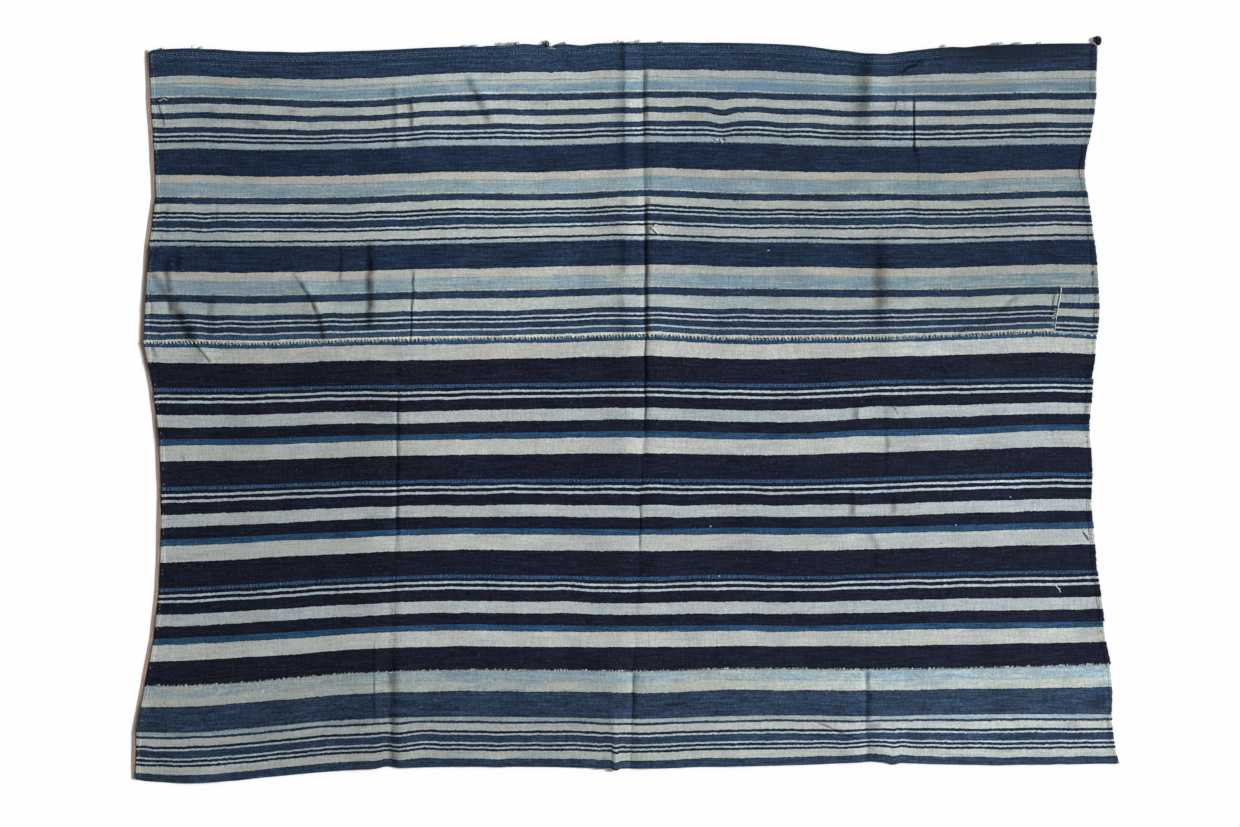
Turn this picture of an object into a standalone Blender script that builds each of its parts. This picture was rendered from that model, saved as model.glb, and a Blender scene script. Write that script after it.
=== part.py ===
"""A strip-woven cotton throw, lying flat on a surface.

Fifteen narrow woven strips lie side by side, sewn edge to edge, each with a narrow hem at
both ends. Strip 6 is finished at its right-hand end with a short piece of another strip,
and a thread knot sits at the top right corner. Storage folds cross the cloth from top to
bottom at its middle and at its quarters, and stand up a few millimetres as soft ridges.

The tables count in UNIT from the top left corner of the drawing board, x to the right and
y downwards. Everything is built in metres, +Z up, with the origin under the middle of the
cloth's box, on the surface that it lies on.
"""

from math import atan2, cos, hypot, pi, sin, sqrt

import bmesh
import bpy

NAME = "indigo_dyed_throw"

UNIT = 0.00165  # m, the tables' unit: a strip is about 49 of them wide
CENTRE = (627.25, 410.0)  # the middle of the cloth's box, in units
CLOTH = 0.0015  # m, thickness of the woven strip
HEM = 0.0026  # m, thickness where the end is turned under and sewn
LEFT_HEM, RIGHT_HEM = 4.0, 5.0  # units, widths of the two end hems
HEM_STEP = 1.5  # units over which a hem thins to the cloth
GAP = 0.0003  # m, between neighbouring pieces
ROWS = 2  # cells across a strip

# Seam lines from the top edge to the bottom edge: y at each station along x.
STATIONS = (140, 195, 250, 350, 450, 550, 645, 730, 800, 870, 950, 1040, 1100)
SEAMS = {
    "top_edge": (50.5, 48.3, 51.4, 51.2, 46.9, 44.6, 42.6, 42.8, 45.5, 53.6, 47.0, 43.8, 43.3),
    "seam_1": (98.2, 97.0, 98.6, 101.0, 95.2, 93.5, 91.8, 92.0, 94.0, 95.2, 94.7, 92.8, 92.8),
    "seam_2": (150.6, 148.4, 150.0, 149.2, 145.7, 145.4, 142.4, 142.6, 145.0, 146.4, 146.5, 144.4, 144.2),
    "seam_3": (196.6, 197.2, 198.0, 197.2, 193.6, 193.8, 190.2, 193.0, 194.0, 193.7, 194.2, 191.2, 190.6),
    "seam_4": (245.9, 245.9, 246.4, 245.5, 243.7, 241.5, 239.8, 242.2, 242.6, 243.6, 243.0, 240.0, 239.8),
    "seam_5": (294.3, 295.0, 295.7, 293.8, 291.0, 289.4, 287.0, 288.5, 289.0, 289.5, 289.7, 287.0, 287.4),
    "seam_6": (343.2, 342.8, 344.2, 341.4, 339.6, 338.1, 335.6, 339.0, 338.8, 338.5, 336.1, 332.6, 334.9),
    "seam_7": (387.5, 388.0, 387.9, 385.5, 384.2, 382.6, 381.9, 383.0, 383.4, 380.3, 379.1, 377.5, 378.6),
    "seam_8": (439.4, 439.0, 438.3, 435.6, 433.5, 432.0, 430.9, 432.3, 433.1, 429.8, 428.2, 424.6, 424.5),
    "seam_9": (487.5, 486.2, 484.8, 481.4, 479.4, 478.7, 478.6, 479.1, 479.4, 477.5, 474.9, 472.4, 473.2),
    "seam_10": (540.6, 538.2, 535.9, 531.4, 527.9, 528.3, 528.9, 527.4, 527.8, 527.1, 525.0, 522.8, 521.4),
    "seam_11": (589.4, 586.9, 584.0, 577.9, 574.5, 575.4, 576.6, 574.4, 576.1, 573.8, 571.8, 570.5, 570.0),
    "seam_12": (638.8, 637.0, 634.3, 628.0, 624.3, 625.0, 625.7, 624.6, 625.4, 624.3, 622.7, 622.0, 621.2),
    "seam_13": (686.5, 686.0, 682.6, 674.1, 670.8, 670.8, 671.6, 669.4, 669.4, 669.9, 669.0, 667.0, 664.9),
    "seam_14": (731.8, 732.3, 728.0, 719.3, 716.6, 717.2, 718.6, 715.8, 715.2, 716.0, 714.5, 714.0, 714.0),
    "bottom_edge": (780.8, 783.0, 778.6, 770.0, 766.7, 766.9, 768.3, 766.4, 764.9, 762.2, 764.4, 764.6, 763.6),
}

# Where each strip ends, x at its upper and lower seam. bulge bows the right end outwards.
# tone names the yarn colour that carries most of the strip.
ENDS = {
    "strip_01": dict(left_top=149.0, left_low=150.6, right_top=1097.5, right_low=1095.8, bulge=0.0, tone="indigo"),
    "strip_02": dict(left_top=150.6, left_low=154.0, right_top=1096.6, right_low=1089.0, bulge=0.8, tone="navy"),
    "strip_03": dict(left_top=154.0, left_low=156.0, right_top=1088.0, right_low=1086.4, bulge=-2.5, tone="indigo"),
    "strip_04": dict(left_top=156.0, left_low=149.0, right_top=1087.0, right_low=1094.0, bulge=0.6, tone="navy"),
    "strip_05": dict(left_top=149.0, left_low=146.0, right_top=1094.4, right_low=1098.4, bulge=0.8, tone="indigo"),
    "strip_06": dict(left_top=146.0, left_low=143.8, right_top=1060.6, right_low=1053.6, bulge=0.0, tone="navy"),
    "end_piece": dict(left_top=1060.6, left_low=1053.6, right_top=1098.6, right_low=1097.6, bulge=1.4, tone="navy"),
    "strip_07": dict(left_top=143.8, left_low=153.2, right_top=1096.6, right_low=1091.6, bulge=1.2, tone="black"),
    "strip_08": dict(left_top=153.2, left_low=159.2, right_top=1093.4, right_low=1089.2, bulge=0.4, tone="black"),
    "strip_09": dict(left_top=159.2, left_low=161.3, right_top=1089.2, right_low=1092.2, bulge=0.4, tone="black"),
    "strip_10": dict(left_top=161.3, left_low=160.8, right_top=1092.6, right_low=1092.8, bulge=-1.2, tone="black"),
    "strip_11": dict(left_top=160.8, left_low=159.2, right_top=1093.4, right_low=1096.8, bulge=0.2, tone="black"),
    "strip_12": dict(left_top=159.2, left_low=153.8, right_top=1097.4, right_low=1104.2, bulge=0.4, tone="black"),
    "strip_13": dict(left_top=153.8, left_low=144.6, right_top=1102.8, right_low=1111.0, bulge=-0.6, tone="black"),
    "strip_14": dict(left_top=144.6, left_low=136.2, right_top=1109.6, right_low=1111.4, bulge=1.6, tone="mid_navy"),
    "strip_15": dict(left_top=136.2, left_low=135.5, right_top=1111.8, right_low=1119.0, bulge=-1.4, tone="mid_navy"),
}

# Columns of the sheets, as x at five heights, and the cells up to the next one. The ones
# named after the storage folds run along them.
HEIGHTS = (45, 287, 334, 540, 765)
COLUMNS = {
    "first": dict(x=(172, 172, 172, 172, 172), cells=7),
    "left_bank": dict(x=(377, 378, 378, 377, 371), cells=1),
    "left_crease": dict(x=(397, 398, 397, 397, 391), cells=1),
    "left_rise": dict(x=(402, 403, 402, 402, 396), cells=1),
    "left_far": dict(x=(411, 411, 411, 411, 405), cells=6),
    "centre_bank": dict(x=(600, 600, 600, 594, 586), cells=1),
    "centre_crest": dict(x=(624, 624, 624, 619, 610), cells=2),
    "centre_crease": dict(x=(646, 646.5, 646.5, 640, 629), cells=1),
    "centre_rise": dict(x=(651, 651.5, 651.5, 645, 634), cells=1),
    "centre_far": dict(x=(659, 659, 659, 653, 642), cells=6),
    "right_bank": dict(x=(850, 856, 856, 854, 849), cells=1),
    "right_crease": dict(x=(867, 873, 873, 871, 867), cells=1),
    "right_rise": dict(x=(880, 882, 882, 880, 875), cells=1),
    "right_far": dict(x=(894, 894, 894, 893, 890), cells=6),
    "join": dict(x=(1060, 1060.6, 1053.6, 1056, 1056), cells=1),
    "last": dict(x=(1075, 1075, 1075, 1077, 1092), cells=0),
}

# Sharp creases, from (x0, y0) to (x1, y1). The cloth touches the surface along the crease
# and rises on each side to a low bank, a quarter of the way out to where it is flat again.
# Rises are in metres. fade is the length over which a fold dies away at its ends.
CREASES = {
    "left_quarter": dict(x0=398, y0=345, x1=391, y1=830, left=75, left_rise=0.0016, right=44, right_rise=0.0025, fade=70),
    "left_upper": dict(x0=411, y0=240, x1=411, y1=362, left=30, left_rise=0.0005, right=24, right_rise=0.0009, fade=45),
    "centre_top": dict(x0=646, y0=30, x1=646.5, y1=260, left=88, left_rise=0.0024, right=40, right_rise=0.0016, fade=60),
    "centre_middle": dict(x0=646.5, y0=165, x1=646, y1=480, left=88, left_rise=0.0036, right=46, right_rise=0.0032, fade=90),
    "centre_low": dict(x0=644, y0=425, x1=637, y1=640, left=80, left_rise=0.0016, right=40, right_rise=0.0013, fade=60),
    "centre_foot": dict(x0=635, y0=620, x1=628, y1=840, left=84, left_rise=0.0030, right=46, right_rise=0.0016, fade=60),
    "right_top": dict(x0=913.5, y0=78, x1=914, y1=180, left=44, left_rise=0.0008, right=30, right_rise=0.0014, fade=40),
    "right_foot": dict(x0=865.5, y0=640, x1=867, y1=830, left=70, left_rise=0.0022, right=36, right_rise=0.0027, fade=45),
}

# Soft rounded ridges along (x0, y0) to (x1, y1): how far each flank reaches and how high
# the crest stands.
RIDGES = {
    "top_dip": dict(x0=867, y0=0, x1=868, y1=165, left=17, right=27, rise=0.0034, fade=50),
    "right_middle": dict(x0=890, y0=205, x1=890, y1=360, left=20, right=44, rise=0.0025, fade=45),
    "left_slant": dict(x0=292, y0=262, x1=331, y1=346, left=15, right=16, rise=0.0016, fade=30),
    "corner_slant": dict(x0=182, y0=314, x1=217, y1=370, left=15, right=16, rise=0.0018, fade=25),
    "left_edge_lift": dict(x0=146, y0=235, x1=140, y1=420, left=40, right=34, rise=0.0016, fade=70),
    "foot_corner_lift": dict(x0=150, y0=700, x1=235, y1=830, left=40, right=44, rise=0.0022, fade=50),
}

# The knot's middle on the board, and its size and lobes.
KNOT = dict(x=1097.0, y=39.9, width=0.0135, depth=0.0094, height=0.0082, lobes=3, lobe=0.10)

YARNS = {
    "indigo": (0.030, 0.052, 0.105),
    "navy": (0.040, 0.068, 0.125),
    "black": (0.011, 0.015, 0.030),
    "mid_navy": (0.028, 0.056, 0.125),
    "knot": (0.006, 0.008, 0.018),
}


def metres(x, y):
    """A point of the drawing board, in metres from the middle of the cloth."""
    return (x - CENTRE[0]) * UNIT, (CENTRE[1] - y) * UNIT


def straight(at, xs, ys):
    """The value at `at` on straight runs through (xs, ys)."""
    i = 0
    while i < len(xs) - 2 and at > xs[i + 1]:
        i += 1
    share = (at - xs[i]) / (xs[i + 1] - xs[i])
    return ys[i] + share * (ys[i + 1] - ys[i])


def seam_y(name, x):
    """The seam's height on the board at x, on a smooth curve through its stations."""
    xs, ys = STATIONS, SEAMS[name]
    i = 0
    while i < len(xs) - 2 and x > xs[i + 1]:
        i += 1

    def slope(k):
        a, b = max(k - 1, 0), min(k + 1, len(xs) - 1)
        return (ys[b] - ys[a]) / (xs[b] - xs[a])

    run = xs[i + 1] - xs[i]
    t = (x - xs[i]) / run
    if t < 0 or t > 1:
        return ys[i] + slope(i) * (x - xs[i]) if t < 0 else ys[i + 1] + slope(i + 1) * (x - xs[i + 1])
    return (
        (1 + 2 * t) * (1 - t) ** 2 * ys[i]
        + t * (1 - t) ** 2 * run * slope(i)
        + t * t * (3 - 2 * t) * ys[i + 1]
        - t * t * (1 - t) * run * slope(i + 1)
    )


def bell(t):
    """1 at a crest, falling smoothly to 0 at t = 1."""
    return 0.5 * (1 + cos(pi * t)) if t < 1 else 0.0


def bank(t):
    """0 with a sharp corner at a crease, 1 at t = 0.25, and smoothly back to 0 at t = 1."""
    return sin(pi * sqrt(t)) ** 2 if t < 1 else 0.0


def beside(f, x, y):
    """A point's distance to the right of a fold's line, and how much of the fold is left
    there after it has faded towards its ends."""
    dx, dy = f["x1"] - f["x0"], f["y1"] - f["y0"]
    length = hypot(dx, dy)
    along = ((x - f["x0"]) * dx + (y - f["y0"]) * dy) / length
    across = ((x - f["x0"]) * dy - (y - f["y0"]) * dx) / length
    end = max(0.0, min(along, length - along, f["fade"]))
    return across, 0.5 * (1 - cos(pi * end / f["fade"]))


def rise(x, y):
    """How far the cloth's underside stands above the surface at a point of the board."""
    total = 0.0
    for f in CREASES.values():
        across, share = beside(f, x, y)
        side = "right" if across > 0 else "left"
        total += share * f[side + "_rise"] * bank(abs(across) / f[side])
    for f in RIDGES.values():
        across, share = beside(f, x, y)
        total += share * f["rise"] * bell(abs(across) / f["right" if across > 0 else "left"])
    return total


def end_x(end, side, v):
    """x of a strip's end, v of the way from its upper seam to its lower one."""
    bow = end["bulge"] * sin(pi * v) if side == "right" else 0.0
    return end[side + "_top"] + v * (end[side + "_low"] - end[side + "_top"]) + bow


def column_x(y):
    """x of every shared column at a height on the board."""
    xs, cells = [], []
    for c in COLUMNS.values():
        xs.append(straight(y, HEIGHTS, c["x"]))
        cells.append(c["cells"])
    found = []
    for i in range(len(xs) - 1):
        for k in range(cells[i]):
            found.append(xs[i] + (xs[i + 1] - xs[i]) * k / cells[i])
    return found + [xs[-1]]


def strip_columns(end, y, v):
    """x and thickness at every column of one piece, from its left end to its right end."""
    left, right = end_x(end, "left", v), end_x(end, "right", v)
    hem_left = end["left_top"] < 200
    hem_right = end["right_top"] > 1070
    columns = [(left, HEM if hem_left else CLOTH)]
    if hem_left:
        columns += [(left + LEFT_HEM, HEM), (left + LEFT_HEM + HEM_STEP, CLOTH)]
    low, high = end["left_top"] + 4, end["right_top"] - 4
    reference = column_x(0.5 * (HEIGHTS[1] + HEIGHTS[2]))
    for x, x_reference in zip(column_x(y), reference):
        if max(low, 165) < x_reference < min(high, 1080):
            columns.append((x, CLOTH))
    if hem_right:
        columns += [(right - RIGHT_HEM - HEM_STEP, CLOTH), (right - RIGHT_HEM, HEM)]
    return columns + [(right, HEM if hem_right else CLOTH)]


def material(name, colour):
    mat = bpy.data.materials.new(name)
    mat.use_nodes = True
    shader = mat.node_tree.nodes["Principled BSDF"]
    shader.inputs["Base Color"].default_value = (*colour, 1.0)
    shader.inputs["Roughness"].default_value = 0.9
    shader.inputs["Metallic"].default_value = 0.0
    return mat


def cloth_sheet(name, upper, lower):
    """One woven piece: a flat grid laid between two seam lines and over the folds, then
    given its thickness straight up, so that its ends and sides stay upright."""
    end = ENDS[name]
    half_gap = 0.5 * GAP / UNIT
    sides = (upper, lower)

    def seam(side, x):
        inset = 0.0 if "edge" in sides[side] else half_gap
        return seam_y(sides[side], x) + (inset if side == 0 else -inset)

    rows = []
    for r in range(ROWS + 1):
        v = r / ROWS
        height = seam(0, CENTRE[0]) + v * (seam(1, CENTRE[0]) - seam(0, CENTRE[0]))
        row = []
        for x, thick in strip_columns(end, height, v):
            row.append((x, (1 - v) * seam(0, x) + v * seam(1, x), thick))
        if name == "strip_06":
            row[-1] = (row[-1][0] - half_gap, *row[-1][1:])
        if name == "end_piece":
            row[0] = (row[0][0] + half_gap, *row[0][1:])
        rows.append(row)

    bm = bmesh.new()
    bmesh.ops.create_grid(bm, x_segments=len(rows[0]) - 1, y_segments=ROWS, size=1.0)
    bm.verts.ensure_lookup_table()
    thick_of = {}
    for vert in bm.verts:
        column = round((vert.co.x + 1) / 2 * (len(rows[0]) - 1))
        r = ROWS - round((vert.co.y + 1) / 2 * ROWS)
        x, y, thick = rows[r][column]
        vert.co.x, vert.co.y = metres(x, y)
        vert.co.z = rise(x, y)
        thick_of[vert] = thick
    under = list(bm.faces)
    made = bmesh.ops.extrude_face_region(bm, geom=under, use_keep_orig=True)
    tops = [v for v in made["geom"] if isinstance(v, bmesh.types.BMVert)]
    # The extruded vertices lie on the ones they came from, so each finds its thickness there.
    place = {(round(v.co.x, 7), round(v.co.y, 7)): t for v, t in thick_of.items()}
    for v in tops:
        v.co.z += place[(round(v.co.x, 7), round(v.co.y, 7))]
    bmesh.ops.triangulate(bm, faces=list(bm.faces))
    bmesh.ops.recalc_face_normals(bm, faces=list(bm.faces))
    mesh = bpy.data.meshes.new(name)
    bm.to_mesh(mesh)
    bm.free()
    mesh.materials.append(material(name + "_yarn", YARNS[end["tone"]]))
    return mesh


def knot():
    """A pulled-tight thread knot: a squat ball with the lobes of its turns and a flat spot."""
    bm = bmesh.new()
    bmesh.ops.create_uvsphere(bm, u_segments=18, v_segments=10, radius=1.0)
    for v in bm.verts:
        turn = atan2(v.co.y, v.co.x)
        grow = 1 + KNOT["lobe"] * cos(KNOT["lobes"] * turn + 2.5 * v.co.z) * (1 - v.co.z**2)
        v.co.x *= grow * 0.5 * KNOT["width"] / (1 + KNOT["lobe"])
        v.co.y *= grow * 0.5 * KNOT["depth"] / (1 + KNOT["lobe"])
        v.co.z = max(0.0, (v.co.z + 0.82) / 1.82 * KNOT["height"])
    bmesh.ops.remove_doubles(bm, verts=list(bm.verts), dist=1e-6)
    bmesh.ops.triangulate(bm, faces=list(bm.faces))
    bmesh.ops.recalc_face_normals(bm, faces=list(bm.faces))
    mesh = bpy.data.meshes.new("corner_knot")
    bm.to_mesh(mesh)
    bm.free()
    mesh.materials.append(material("knot_thread", YARNS["knot"]))
    mesh.shade_smooth()
    return mesh


for old in list(bpy.data.objects):
    bpy.data.objects.remove(old)
collection = bpy.data.collections.new(NAME)
bpy.context.scene.collection.children.link(collection)

lines = list(SEAMS)
for piece in ENDS:
    number = 6 if piece == "end_piece" else int(piece[-2:])
    sheet = bpy.data.objects.new(piece, cloth_sheet(piece, lines[number - 1], lines[number]))
    collection.objects.link(sheet)

corner_knot = bpy.data.objects.new("corner_knot", knot())
corner_knot.location = (*metres(KNOT["x"], KNOT["y"]), 0.0)
collection.objects.link(corner_knot)
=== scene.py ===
"""The looks of a strip-woven indigo throw lying flat, seen from straight above.

Every strip is a thin closed sheet over the folds of its solid, woven, hemmed and creased,
with its warp stripes and stains in its material, and with painted shade and highlights along its
folds and a painted light falloff along the throw. Threads that stand out of the cloth are small
tubes of their own: whip stitches along the seams, hem stitches, ends that fray from the edges,
and the corner knot. A thin brown line of tubes beside the left end is painted shadow.

The tables count in UNIT from the top left corner of the drawing board, x to the right and
y downwards, as the construction's do.
"""

from math import cos, hypot, pi, radians, sin

import bpy
import numpy as np
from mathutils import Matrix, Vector

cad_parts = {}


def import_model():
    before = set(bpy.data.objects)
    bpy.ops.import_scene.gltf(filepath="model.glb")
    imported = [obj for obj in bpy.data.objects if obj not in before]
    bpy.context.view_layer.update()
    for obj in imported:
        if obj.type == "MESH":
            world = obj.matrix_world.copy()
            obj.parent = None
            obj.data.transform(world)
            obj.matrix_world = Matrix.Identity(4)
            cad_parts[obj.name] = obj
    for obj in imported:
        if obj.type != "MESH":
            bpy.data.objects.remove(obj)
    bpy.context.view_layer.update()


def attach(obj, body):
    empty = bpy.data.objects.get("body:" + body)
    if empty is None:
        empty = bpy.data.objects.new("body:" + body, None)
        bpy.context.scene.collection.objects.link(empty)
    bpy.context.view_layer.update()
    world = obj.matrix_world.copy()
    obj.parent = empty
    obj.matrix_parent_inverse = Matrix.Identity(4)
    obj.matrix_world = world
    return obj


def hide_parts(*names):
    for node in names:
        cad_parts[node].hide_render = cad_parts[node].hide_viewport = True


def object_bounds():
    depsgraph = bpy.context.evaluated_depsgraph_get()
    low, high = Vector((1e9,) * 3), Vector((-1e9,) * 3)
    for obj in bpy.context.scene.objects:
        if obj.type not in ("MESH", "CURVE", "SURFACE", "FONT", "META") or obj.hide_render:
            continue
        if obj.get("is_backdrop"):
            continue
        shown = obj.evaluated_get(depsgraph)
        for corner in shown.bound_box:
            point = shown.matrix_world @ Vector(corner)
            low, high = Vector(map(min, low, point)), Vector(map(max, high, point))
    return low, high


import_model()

UNIT = 0.00165  # m
CENTRE = (627.25, 410.0)
CLOTH = 0.0015  # m, thickness of the woven strip
HEM = 0.0026  # m, thickness of the turned and sewn ends
LEFT_HEM, RIGHT_HEM = 4.0, 5.0  # units

STATIONS = (140, 195, 250, 350, 450, 550, 645, 730, 800, 870, 950, 1040, 1100)
SEAMS = {
    "top_edge": (50.5, 48.3, 51.4, 51.2, 46.9, 44.6, 42.6, 42.8, 45.5, 53.6, 47.0, 43.8, 43.3),
    "seam_1": (98.2, 97.0, 98.6, 101.0, 95.2, 93.5, 91.8, 92.0, 94.0, 95.2, 94.7, 92.8, 92.8),
    "seam_2": (150.6, 148.4, 150.0, 149.2, 145.7, 145.4, 142.4, 142.6, 145.0, 146.4, 146.5, 144.4, 144.2),
    "seam_3": (196.6, 197.2, 198.0, 197.2, 193.6, 193.8, 190.2, 193.0, 194.0, 193.7, 194.2, 191.2, 190.6),
    "seam_4": (245.9, 245.9, 246.4, 245.5, 243.7, 241.5, 239.8, 242.2, 242.6, 243.6, 243.0, 240.0, 239.8),
    "seam_5": (294.3, 295.0, 295.7, 293.8, 291.0, 289.4, 287.0, 288.5, 289.0, 289.5, 289.7, 287.0, 287.4),
    "seam_6": (343.2, 342.8, 344.2, 341.4, 339.6, 338.1, 335.6, 339.0, 338.8, 338.5, 336.1, 332.6, 334.9),
    "seam_7": (387.5, 388.0, 387.9, 385.5, 384.2, 382.6, 381.9, 383.0, 383.4, 380.3, 379.1, 377.5, 378.6),
    "seam_8": (439.4, 439.0, 438.3, 435.6, 433.5, 432.0, 430.9, 432.3, 433.1, 429.8, 428.2, 424.6, 424.5),
    "seam_9": (487.5, 486.2, 484.8, 481.4, 479.4, 478.7, 478.6, 479.1, 479.4, 477.5, 474.9, 472.4, 473.2),
    "seam_10": (540.6, 538.2, 535.9, 531.4, 527.9, 528.3, 528.9, 527.4, 527.8, 527.1, 525.0, 522.8, 521.4),
    "seam_11": (589.4, 586.9, 584.0, 577.9, 574.5, 575.4, 576.6, 574.4, 576.1, 573.8, 571.8, 570.5, 570.0),
    "seam_12": (638.8, 637.0, 634.3, 628.0, 624.3, 625.0, 625.7, 624.6, 625.4, 624.3, 622.7, 622.0, 621.2),
    "seam_13": (686.5, 686.0, 682.6, 674.1, 670.8, 670.8, 671.6, 669.4, 669.4, 669.9, 669.0, 667.0, 664.9),
    "seam_14": (731.8, 732.3, 728.0, 719.3, 716.6, 717.2, 718.6, 715.8, 715.2, 716.0, 714.5, 714.0, 714.0),
    "bottom_edge": (780.8, 783.0, 778.6, 770.0, 766.7, 766.9, 768.3, 766.4, 764.9, 762.2, 764.4, 764.6, 763.6),
}
LINES = list(SEAMS)

# Where each strip ends, x at its upper and lower seam, and the bow of its right end.
ENDS = {
    "strip_01": dict(left=(149.0, 150.6), right=(1097.5, 1095.8), bow=0.0),
    "strip_02": dict(left=(150.6, 154.0), right=(1096.6, 1089.0), bow=0.8),
    "strip_03": dict(left=(154.0, 156.0), right=(1088.0, 1086.4), bow=-2.5),
    "strip_04": dict(left=(156.0, 149.0), right=(1087.0, 1094.0), bow=0.6),
    "strip_05": dict(left=(149.0, 146.0), right=(1094.4, 1098.4), bow=0.8),
    "strip_06": dict(left=(146.0, 143.8), right=(1060.6, 1053.6), bow=0.0),
    "end_piece": dict(left=(1060.6, 1053.6), right=(1098.6, 1097.6), bow=1.4),
    "strip_07": dict(left=(143.8, 153.2), right=(1096.6, 1091.6), bow=1.2),
    "strip_08": dict(left=(153.2, 159.2), right=(1093.4, 1089.2), bow=0.4),
    "strip_09": dict(left=(159.2, 161.3), right=(1089.2, 1092.2), bow=0.4),
    "strip_10": dict(left=(161.3, 160.8), right=(1092.6, 1092.8), bow=-1.2),
    "strip_11": dict(left=(160.8, 159.2), right=(1093.4, 1096.8), bow=0.2),
    "strip_12": dict(left=(159.2, 153.8), right=(1097.4, 1104.2), bow=0.4),
    "strip_13": dict(left=(153.8, 144.6), right=(1102.8, 1111.0), bow=-0.6),
    "strip_14": dict(left=(144.6, 136.2), right=(1109.6, 1111.4), bow=1.6),
    "strip_15": dict(left=(136.2, 135.5), right=(1111.8, 1119.0), bow=-1.4),
}

# The construction's sharp creases and soft ridges. `pinch` below 0.5 draws a crest in towards
# its crease. The shade painted into the folds is set in the finer rows below.
CREASES = {
    "left_quarter": dict(x0=398, y0=345, x1=391, y1=830, left=75, left_rise=0.0020, right=44, right_rise=0.0014, fade=70, pinch=0.50),
    "left_upper": dict(x0=411, y0=240, x1=411, y1=362, left=30, left_rise=0.0007, right=24, right_rise=0.0011, fade=45, pinch=0.42),
    "centre_top": dict(x0=643.2, y0=20, x1=644.2, y1=270, left=78, left_rise=0.0034, right=40, right_rise=0.0014, fade=70, pinch=0.45),
    "centre_middle": dict(x0=645.4, y0=170, x1=645.0, y1=500, left=78, left_rise=0.0036, right=46, right_rise=0.0030, fade=90, pinch=0.40),
    "centre_low": dict(x0=643, y0=425, x1=637, y1=640, left=80, left_rise=0.0018, right=40, right_rise=0.0016, fade=60, pinch=0.42),
    "centre_foot": dict(x0=635, y0=620, x1=628, y1=840, left=84, left_rise=0.0034, right=46, right_rise=0.0020, fade=60, pinch=0.45),
    "right_top": dict(x0=913.0, y0=78, x1=914, y1=180, left=44, left_rise=0.0010, right=30, right_rise=0.0016, fade=40, pinch=0.40),
    "right_foot": dict(x0=865.0, y0=640, x1=867, y1=800, left=70, left_rise=0.0024, right=36, right_rise=0.0010, fade=70, pinch=0.50),
}
RIDGES = {
    "top_dip": dict(x0=867, y0=0, x1=868, y1=165, left=17, right=27, rise=0.0044, fade=50),
    "right_middle": dict(x0=890, y0=205, x1=890, y1=360, left=20, right=44, rise=0.0026, fade=45),
    "left_slant": dict(x0=292, y0=262, x1=331, y1=346, left=15, right=16, rise=0.0020, fade=30),
    "corner_slant": dict(x0=182, y0=314, x1=217, y1=370, left=15, right=16, rise=0.0022, fade=25),
    "left_edge_lift": dict(x0=146, y0=235, x1=140, y1=420, left=40, right=34, rise=0.0018, fade=70),
    "foot_corner_lift": dict(x0=150, y0=700, x1=235, y1=830, left=40, right=44, rise=0.0024, fade=50),
    # Softer ones: the crest beside the centre fold, and slack between the folds.
    "centre_crest": dict(x0=627, y0=36, x1=627, y1=190, left=8, right=15, rise=0.0014, fade=30),
    "centre_crest_low": dict(x0=626, y0=185, x1=627, y1=470, left=13, right=15, rise=0.0010, fade=60),
    "centre_foot_crest": dict(x0=611, y0=680, x1=609, y1=830, left=12, right=16, rise=0.0012, fade=40),
    "left_high": dict(x0=376, y0=236, x1=375, y1=345, left=9, right=20, rise=0.0011, fade=35),
    "left_high_outer": dict(x0=346, y0=236, x1=344, y1=320, left=9, right=18, rise=0.0008, fade=30),
    "left_top_high": dict(x0=401, y0=92, x1=400, y1=165, left=8, right=14, rise=0.0009, fade=25),
    "left_top_low": dict(x0=417, y0=92, x1=417, y1=165, left=7, right=16, rise=0.0008, fade=25),
    "top_slack": dict(x0=474, y0=78, x1=497, y1=138, left=8, right=20, rise=0.0012, fade=24),
    "mid_slack": dict(x0=575, y0=60, x1=568, y1=200, left=30, right=34, rise=0.0013, fade=60),
    "bank_slack": dict(x0=742, y0=60, x1=752, y1=250, left=30, right=40, rise=0.0012, fade=70),
    "low_slack": dict(x0=520, y0=400, x1=512, y1=640, left=36, right=44, rise=0.0011, fade=80),
    "foot_slack": dict(x0=742, y0=560, x1=730, y1=770, left=34, right=40, rise=0.0012, fade=80),
    "far_slack": dict(x0=1000, y0=90, x1=1012, y1=300, left=34, right=40, rise=0.0012, fade=80),
    "far_low_slack": dict(x0=985, y0=420, x1=978, y1=720, left=36, right=44, rise=0.0011, fade=90),
    "near_slack": dict(x0=250, y0=430, x1=262, y1=700, left=34, right=40, rise=0.0012, fade=90),
    "near_top_slack": dict(x0=246, y0=60, x1=262, y1=210, left=24, right=32, rise=0.0012, fade=60),
}
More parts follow.
